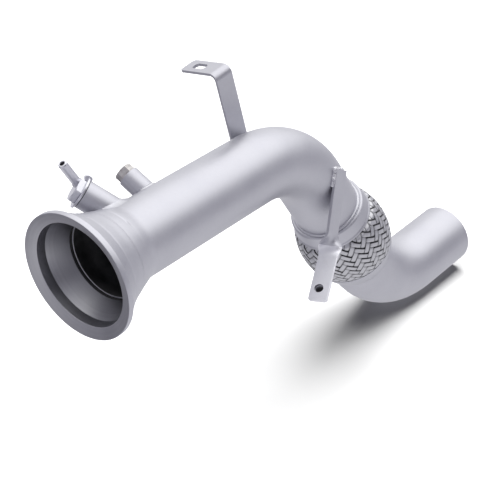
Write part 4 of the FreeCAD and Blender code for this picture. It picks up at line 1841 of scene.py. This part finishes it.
@dataclass
class LowerBracket(Strap):
    """Twisted strap with a drilled foot on the near side, its bush and its weld."""

    head_point: Triple = (324.4, -47.2, -48.3)
    head_turns: Triple = (-1.2, 30.1, -13.3)
    head_rise: float = 12.0
    head_drop: float = 50.0
    foot_point: Triple = (284.0, -62.4, -112.4)
    foot_turns: Triple = (-71.3, -7.2, -62.1)
    foot_length: float = 48.0
    hole_radius: float = 4.5
    hole_reach: float = 34.2
    hole_offset: float = -1.2
    bend_pull: float = 0.45
    twist_spread: float = 2.0
    lobe_height: float = 2.6
    lobe_place: tuple[float, float] = (0.5, 0.5)
    lobe_size: tuple[float, float] = (0.55, 0.20)
    crease_depth: float = 1.4
    crease_place: tuple[float, float] = (-0.45, 0.5)
    crease_size: tuple[float, float] = (0.45, 0.24)
    head_steps: int = 12
    twist_steps: int = 44
    foot_steps: int = 10
    bush_radius: float = 6.5
    bush_length: float = 9.0
    bush_bore: float = 4.0
    bush_floor: float = 1.5
    bush_gap: float = 0.02
    bush_rim: float = 0.4
    bush_back: float = 0.6
    bush_eye: float = 0.1
    bush_sides: int = 64
    thread_pitch: float = 1.25
    thread_depth: float = 0.45
    dab_size: float = 2.7
    dab_pitch: float = 1.6
    side_dabs: int = 11
    top_dabs: int = 9

    def head(self) -> Place:
        """Place of the strap's head on the tube."""
        return Place.of(self.head_point, self.head_turns)

    def foot(self) -> Place:
        """Place of the foot."""
        return Place.of(self.foot_point, self.foot_turns)

    def dent(self, across: float, share: float) -> float:
        """How far the twist is pressed back, with its lobe standing out instead.

        Args:
            across: Place across the strap, from -1 to 1.
            share: Place along the twist, from 0 to 1.

        Returns:
            The depth.
        """
        lobe = hill(across, share, self.lobe_place, self.lobe_size)
        crease = hill(across, share, self.crease_place, self.crease_size)
        return self.crease_depth * crease - self.lobe_height * lobe

    def strap(self) -> None:
        """Makes the strap, painted lighter from the middle of its twist down as if more lit, and
        drills its foot.
        """
        head, foot = self.head(), self.foot()
        rows = []
        straight = self.head_rise + self.head_drop
        for i in range(self.head_steps + 1):
            z = self.head_rise - straight * i / self.head_steps
            rows.append(self.section(self.width / 2, lambda x, y: head.at(x, y, z)))
        start, end = head.at(0, 0, -self.head_drop), foot.point
        pull = self.bend_pull * (end - start).length
        lead, trail = start + head.way(0, 0, -pull), end + foot.way(0, 0, pull)
        for i in range(1, self.twist_steps):
            share = i / self.twist_steps
            rest = 1 - share
            point = (start * rest ** 3 + lead * (3 * share * rest ** 2)
                     + trail * (3 * share ** 2 * rest) + end * share ** 3)
            spot = Place(point, head.turn.slerp(foot.turn, blend(0.0, 1.0, share)))
            half = self.width / 2 + self.twist_spread * math.sin(math.pi * share) ** 2
            rows.append(self.section(half, lambda x, y: spot.at(x, y, 0.0),
                                     lambda across: self.dent(across, share)))
        for left in self.lefts(self.foot_length, self.foot_steps):
            rows.append(self.section(self.narrowing(left), lambda x, y: foot.at(
                x, y, left - self.foot_length)))
        shell = Shell()
        shell.capped(rows)
        # Painted light: from the middle of the twist down the strap gets the paler copy of its
        # finish.
        painted_light_rows = self.head_steps + 1 + self.twist_steps // 2
        shell.paint(painted_light_rows * len(rows[0]), len(shell.marks), 1)
        finishes = [self.palette.blasted, self.palette.pale]
        obj = shell.piece("lower_bracket_strap", finishes, Slot.BLASTED, ["lower_bracket"])
        centre = foot.at(self.hole_offset, self.thickness / 2, -self.hole_reach)
        pierce(obj, centre, foot.way(0, 1, 0), foot.way(0, 0, 1), self.hole_radius, 0.0,
               self.thickness)

    def bush(self) -> None:
        """Makes the blind threaded bush behind the foot's hole, its thread painted dark as shade."""
        foot = self.foot()
        seat = foot.at(self.hole_offset, self.thickness + self.bush_gap, -self.hole_reach)
        back = foot.way(0, 1, 0)
        length, outer, bore = self.bush_length - self.bush_gap, self.bush_radius, self.bush_bore
        rim, ease, eye = self.bush_rim, self.bush_back, self.bush_eye
        outside = [(0.0, bore + rim), (0.0, outer - rim), (rim, outer), (length - ease, outer),
                   (length, outer - ease), (length, eye)]
        depth = length - self.bush_floor
        thread = [(rim, bore)]
        for i in range(int((depth - 2 * rim) / self.thread_pitch)):
            station = rim + self.thread_pitch * i
            thread.append((station + 0.5 * self.thread_pitch, bore - self.thread_depth))
            thread.append((station + self.thread_pitch, bore))
        inside = [(depth, eye), (depth, bore), *reversed(thread)]
        shell = Shell()
        for section, mark in ((outside, 0), (inside, 1), ([inside[-1], outside[0]], 0)):
            shell.net(turned(section, seat, back, self.bush_sides), mark=mark)
        # The inside, seen through the foot's hole, gets painted shade.
        finishes = [self.palette.plated, self.palette.shaded_sheet]
        shell.piece("foot_bush_body", finishes, Slot.PLATED, ["foot_bush"])

    def weld(self) -> None:
        """Makes the rough dabs down one side of the head and along its top."""
        head, half, back = self.head(), self.width / 2, self.thickness
        pitch, top = self.dab_pitch, self.head_rise
        side = [head.at(-half, back, top - i * pitch) for i in range(self.side_dabs)]
        edge = [head.at(-half + i * pitch, back, top) for i in range(1, self.top_dabs + 1)]
        Dabs(self.palette, self.dab_size).piece(side + edge, "lower_bracket_dabs",
                                                "lower_bracket_weld")

    def build(self) -> None:
        """Makes the strap, its bush and its weld."""
        self.strap()
        self.bush()
        self.weld()


def hill(across: float, share: float, place: tuple[float, float],
         size: tuple[float, float]) -> float:
    """Round hill on the strap's face.

    Args:
        across: Place across the strap.
        share: Place along the twist.
        place: Where the hill's top lies, across and along.
        size: The hill's reach, across and along.

    Returns:
        The height, one at the top.
    """
    return math.exp(-((across - place[0]) / size[0]) ** 2 - ((share - place[1]) / size[1]) ** 2)


@dataclass(frozen=True)
class Dabs:
    """Row of rough weld dabs that run into each other."""

    palette: Palette
    size: float
    lumps: float = 0.22
    lump_grain: float = 0.4
    sway: float = 0.10
    sway_turn: float = 2.3
    melt: float = 0.34
    rough: tuple[tuple[float, float], ...] = ((0.9, 0.22), (2.1, 0.10))
    sharp: float = 70.0

    def piece(self, points: Sequence[Vector], name: str, node: str) -> None:
        """Makes the row.

        Args:
            points: Centres of the dabs.
            name: Name of the piece.
            node: Node that it replaces.
        """
        bm = bmesh.new()
        for i, point in enumerate(points):
            lump = self.lumps * noise.noise(point * self.lump_grain)
            uneven = 1.0 + lump + self.sway * math.sin(i * self.sway_turn)
            bmesh.ops.create_icosphere(bm, subdivisions=2, radius=self.size * uneven * MM,
                                       matrix=Matrix.Translation(point * MM))
        mesh = bpy.data.meshes.new(name)
        bm.to_mesh(mesh)
        bm.free()
        obj = bpy.data.objects.new(name, mesh)
        bpy.context.scene.collection.objects.link(obj)
        melt = obj.modifiers.new("melt", "REMESH")
        melt.mode = "VOXEL"
        melt.voxel_size = self.melt * MM
        bake(obj)
        for vertex in obj.data.vertices:
            rough = sum(noise.noise(vertex.co * (grain / MM)) * height
                        for grain, height in self.rough)
            vertex.co += vertex.normal * rough * MM
        obj.data.materials.append(self.palette.weld)
        smooth(obj.data, self.sharp)
        settle(obj, [node])


def bake(obj: bpy.types.Object) -> None:
    """Applies an object's modifiers to its mesh.

    Args:
        obj: The object, which keeps its name and materials.
    """
    graph = bpy.context.evaluated_depsgraph_get()
    mesh = bpy.data.meshes.new_from_object(obj.evaluated_get(graph))
    obj.modifiers.clear()
    obj.data = mesh


def pierce(obj: bpy.types.Object, middle: Vector, way: Vector, run: Vector, radius: float,
           slack: float, thickness: float) -> None:
    """Cuts a round hole or a slot with eased rims through a strap.

    Args:
        obj: The strap.
        middle: Centre of the hole, halfway through the strap.
        way: Direction through the strap.
        run: Direction of the slot's length.
        radius: Radius of the hole.
        slack: Length of the slot's straight part.
        thickness: Thickness of the strap.
    """
    across = way.cross(run)
    rim = thickness / 2 - RIM_EASE
    cone = thickness / 2 + CUT_PAST
    grow = RIM_EASE + CUT_PAST
    rows = []
    for depth, wider in ((-cone, grow), (-rim, 0.0), (rim, 0.0), (cone, grow)):
        row = []
        for i in range(CUT_SIDES):
            angle = TAU * i / CUT_SIDES
            shift = slack / 2 if math.cos(angle) > 0 else -slack / 2
            out = run * math.cos(angle) + across * math.sin(angle)
            row.append(middle + way * depth + run * shift + out * (radius + wider))
        rows.append(row)
    shell = Shell()
    shell.capped(rows)
    mesh = bpy.data.meshes.new("cutter")
    mesh.from_pydata([point * MM for point in shell.points], [], shell.faces)
    smooth(mesh, SHARP_ANGLE)
    cutter = bpy.data.objects.new("cutter", mesh)
    bpy.context.scene.collection.objects.link(cutter)
    cut = obj.modifiers.new("hole", "BOOLEAN")
    cut.operation = "DIFFERENCE"
    cut.solver = "EXACT"
    cut.object = cutter
    bake(obj)
    bpy.data.objects.remove(cutter)
    smooth(obj.data, SHARP_ANGLE)
    obj.modifiers.new("even_normals", "WEIGHTED_NORMAL").keep_sharp = True


@dataclass(frozen=True)
class Patch:
    """Soft-edged patch of light or dark in the surroundings."""

    azimuth: float
    elevation: float
    edge: tuple[float, float]
    level: float

    def way(self) -> Triple:
        """Direction of its middle."""
        turn, rise = math.radians(self.azimuth), math.radians(self.elevation)
        return (math.cos(rise) * math.cos(turn), math.cos(rise) * math.sin(turn), math.sin(rise))


@dataclass(frozen=True)
class Surroundings:
    """Light that the metal reflects: soft boxes, pale and low sides, a floor and a dark room."""

    base: float = 0.53
    pale_side: Patch = Patch(42.0, 35.0, (0.60, 0.74), 1.05)
    soft_box: Patch = Patch(-5.0, 61.0, (0.58, 0.85), 1.70)
    grey_floor: Patch = Patch(0.0, -90.0, (0.13, 0.32), 0.86)
    dark_room: Patch = Patch(-89.0, 27.0, (0.85, 1.0), 0.12)
    far_box: Patch = Patch(114.0, 66.0, (0.88, 0.98), 1.30)
    low_side: Patch = Patch(126.0, -34.0, (0.82, 0.97), 0.30)
    dim_tint: Triple = (0.96, 0.943, 1.10)
    full_tint: Triple = (1.0, 1.0, 1.0)
    full_level: float = 1.25
    floor_share: float = 0.02

    def world(self) -> bpy.types.World:
        """Makes the world, in which each patch covers those before it."""
        graph = Graph(bpy.data.worlds.new("studio"))
        way = graph.node("ShaderNodeTexCoord", output="Generated")
        level: Number = self.base
        for patch in (self.pale_side, self.soft_box, self.grey_floor, self.dark_room,
                      self.far_box, self.low_side):
            facing = graph.node("ShaderNodeVectorMath", {"operation": "DOT_PRODUCT"},
                                {0: way, 1: patch.way()}, "Value")
            share = graph.ease(facing, *patch.edge)
            level = level * (1.0 - share) + share * patch.level
        bright = graph.ease(level, 0.0, self.full_level)
        colour = graph.shade(bright, self.dim_tint, self.full_tint)
        matte = graph.node("ShaderNodeLightPath", output="Is Diffuse Ray")
        level = level * (1.0 - matte * (1.0 - self.floor_share))
        light = graph.node("ShaderNodeBackground", {}, {"Color": colour, "Strength": level})
        graph.close("ShaderNodeOutputWorld", light)
        return graph.owner


@dataclass
class Studio:
    """Pale floor, soft lamp and the camera at the photograph's viewing angle."""

    eye: Triple = (-618.197, -670.347, 667.517)
    view: Triple = (0.642097, 0.502811, -0.578699)
    focal_pixels: float = 1332.22
    picture_pixels: float = 500.0
    sensor: float = 36.0
    clip: tuple[float, float] = (0.02, 60.0)
    floor_reach: float = 12.0
    floor_tone: float = 0.62
    fibre_size: float = 60.0
    fibre_tone: float = 0.01
    lamp_place: Triple = (0.30, 0.19, 2.0)
    lamp_size: tuple[float, float] = (2.6, 1.75)
    lamp_power: float = 190.0

    def camera(self) -> None:
        """Makes the camera."""
        data = bpy.data.cameras.new("camera")
        data.sensor_width = self.sensor
        data.lens = self.focal_pixels / self.picture_pixels * self.sensor
        data.clip_start, data.clip_end = self.clip
        obj = bpy.data.objects.new("camera", data)
        bpy.context.scene.collection.objects.link(obj)
        back = -Vector(self.view).normalized()
        right = Z_AXIS.cross(back).normalized()
        up = back.cross(right)
        turn = Matrix((right, up, back)).transposed().to_4x4()
        obj.matrix_world = Matrix.Translation(Vector(self.eye) * MM) @ turn
        bpy.context.scene.camera = obj

    def floor(self) -> None:
        """Makes the floor under the lowest point of the part; only the eye sees it."""
        height = CAD_BOX[0].z
        reach = self.floor_reach
        mesh = bpy.data.meshes.new("floor")
        corners = [(-reach, -reach, height), (reach, -reach, height),
                   (reach, reach, height), (-reach, reach, height)]
        mesh.from_pydata(corners, [], [(0, 1, 2, 3)])
        graph = Graph.finish("floor_paper")
        fibre = graph.cloud(graph.place(), self.fibre_size)
        low, high = self.floor_tone - self.fibre_tone, self.floor_tone + self.fibre_tone
        colour = graph.shade(fibre, (low, low, low), (high, high, high))
        mesh.materials.append(graph.surface(
            Base_Color=colour, Roughness=0.9, Specular_IOR_Level=0.0))
        obj = bpy.data.objects.new("floor", mesh)
        obj.visible_glossy = False
        bpy.context.scene.collection.objects.link(obj)

    def lamp(self) -> None:
        """Makes the soft lamp that casts the shadow under the part."""
        data = bpy.data.lights.new("overhead_lamp", "AREA")
        data.shape = "RECTANGLE"
        data.size, data.size_y = self.lamp_size
        data.energy = self.lamp_power
        obj = bpy.data.objects.new("overhead_lamp", data)
        obj.location = self.lamp_place
        obj.visible_glossy = False
        bpy.context.scene.collection.objects.link(obj)

    def build(self) -> None:
        """Makes the studio."""
        bpy.context.scene.world = Surroundings().world()
        self.floor()
        self.lamp()
        self.camera()
        bpy.context.scene.view_settings.view_transform = "Standard"
        log.info("studio: lens %.1f mm", bpy.context.scene.camera.data.lens)


def main() -> None:
    """Builds the dressed part and its studio."""
    logging.basicConfig(level=logging.INFO, format="%(name)s %(message)s")
    palette = Palette()
    run = TubeRun()
    Tubing(run, palette).build()
    InletFlange(palette).build()
    FlexSection(run, palette).build()
    PressureTakeoff(run, palette).build()
    SensorPort(run, palette).build()
    UpperBracket(run, palette).build()
    LowerBracket(run, palette).build()
    Studio().build()


if __name__ == "__main__":
    main()
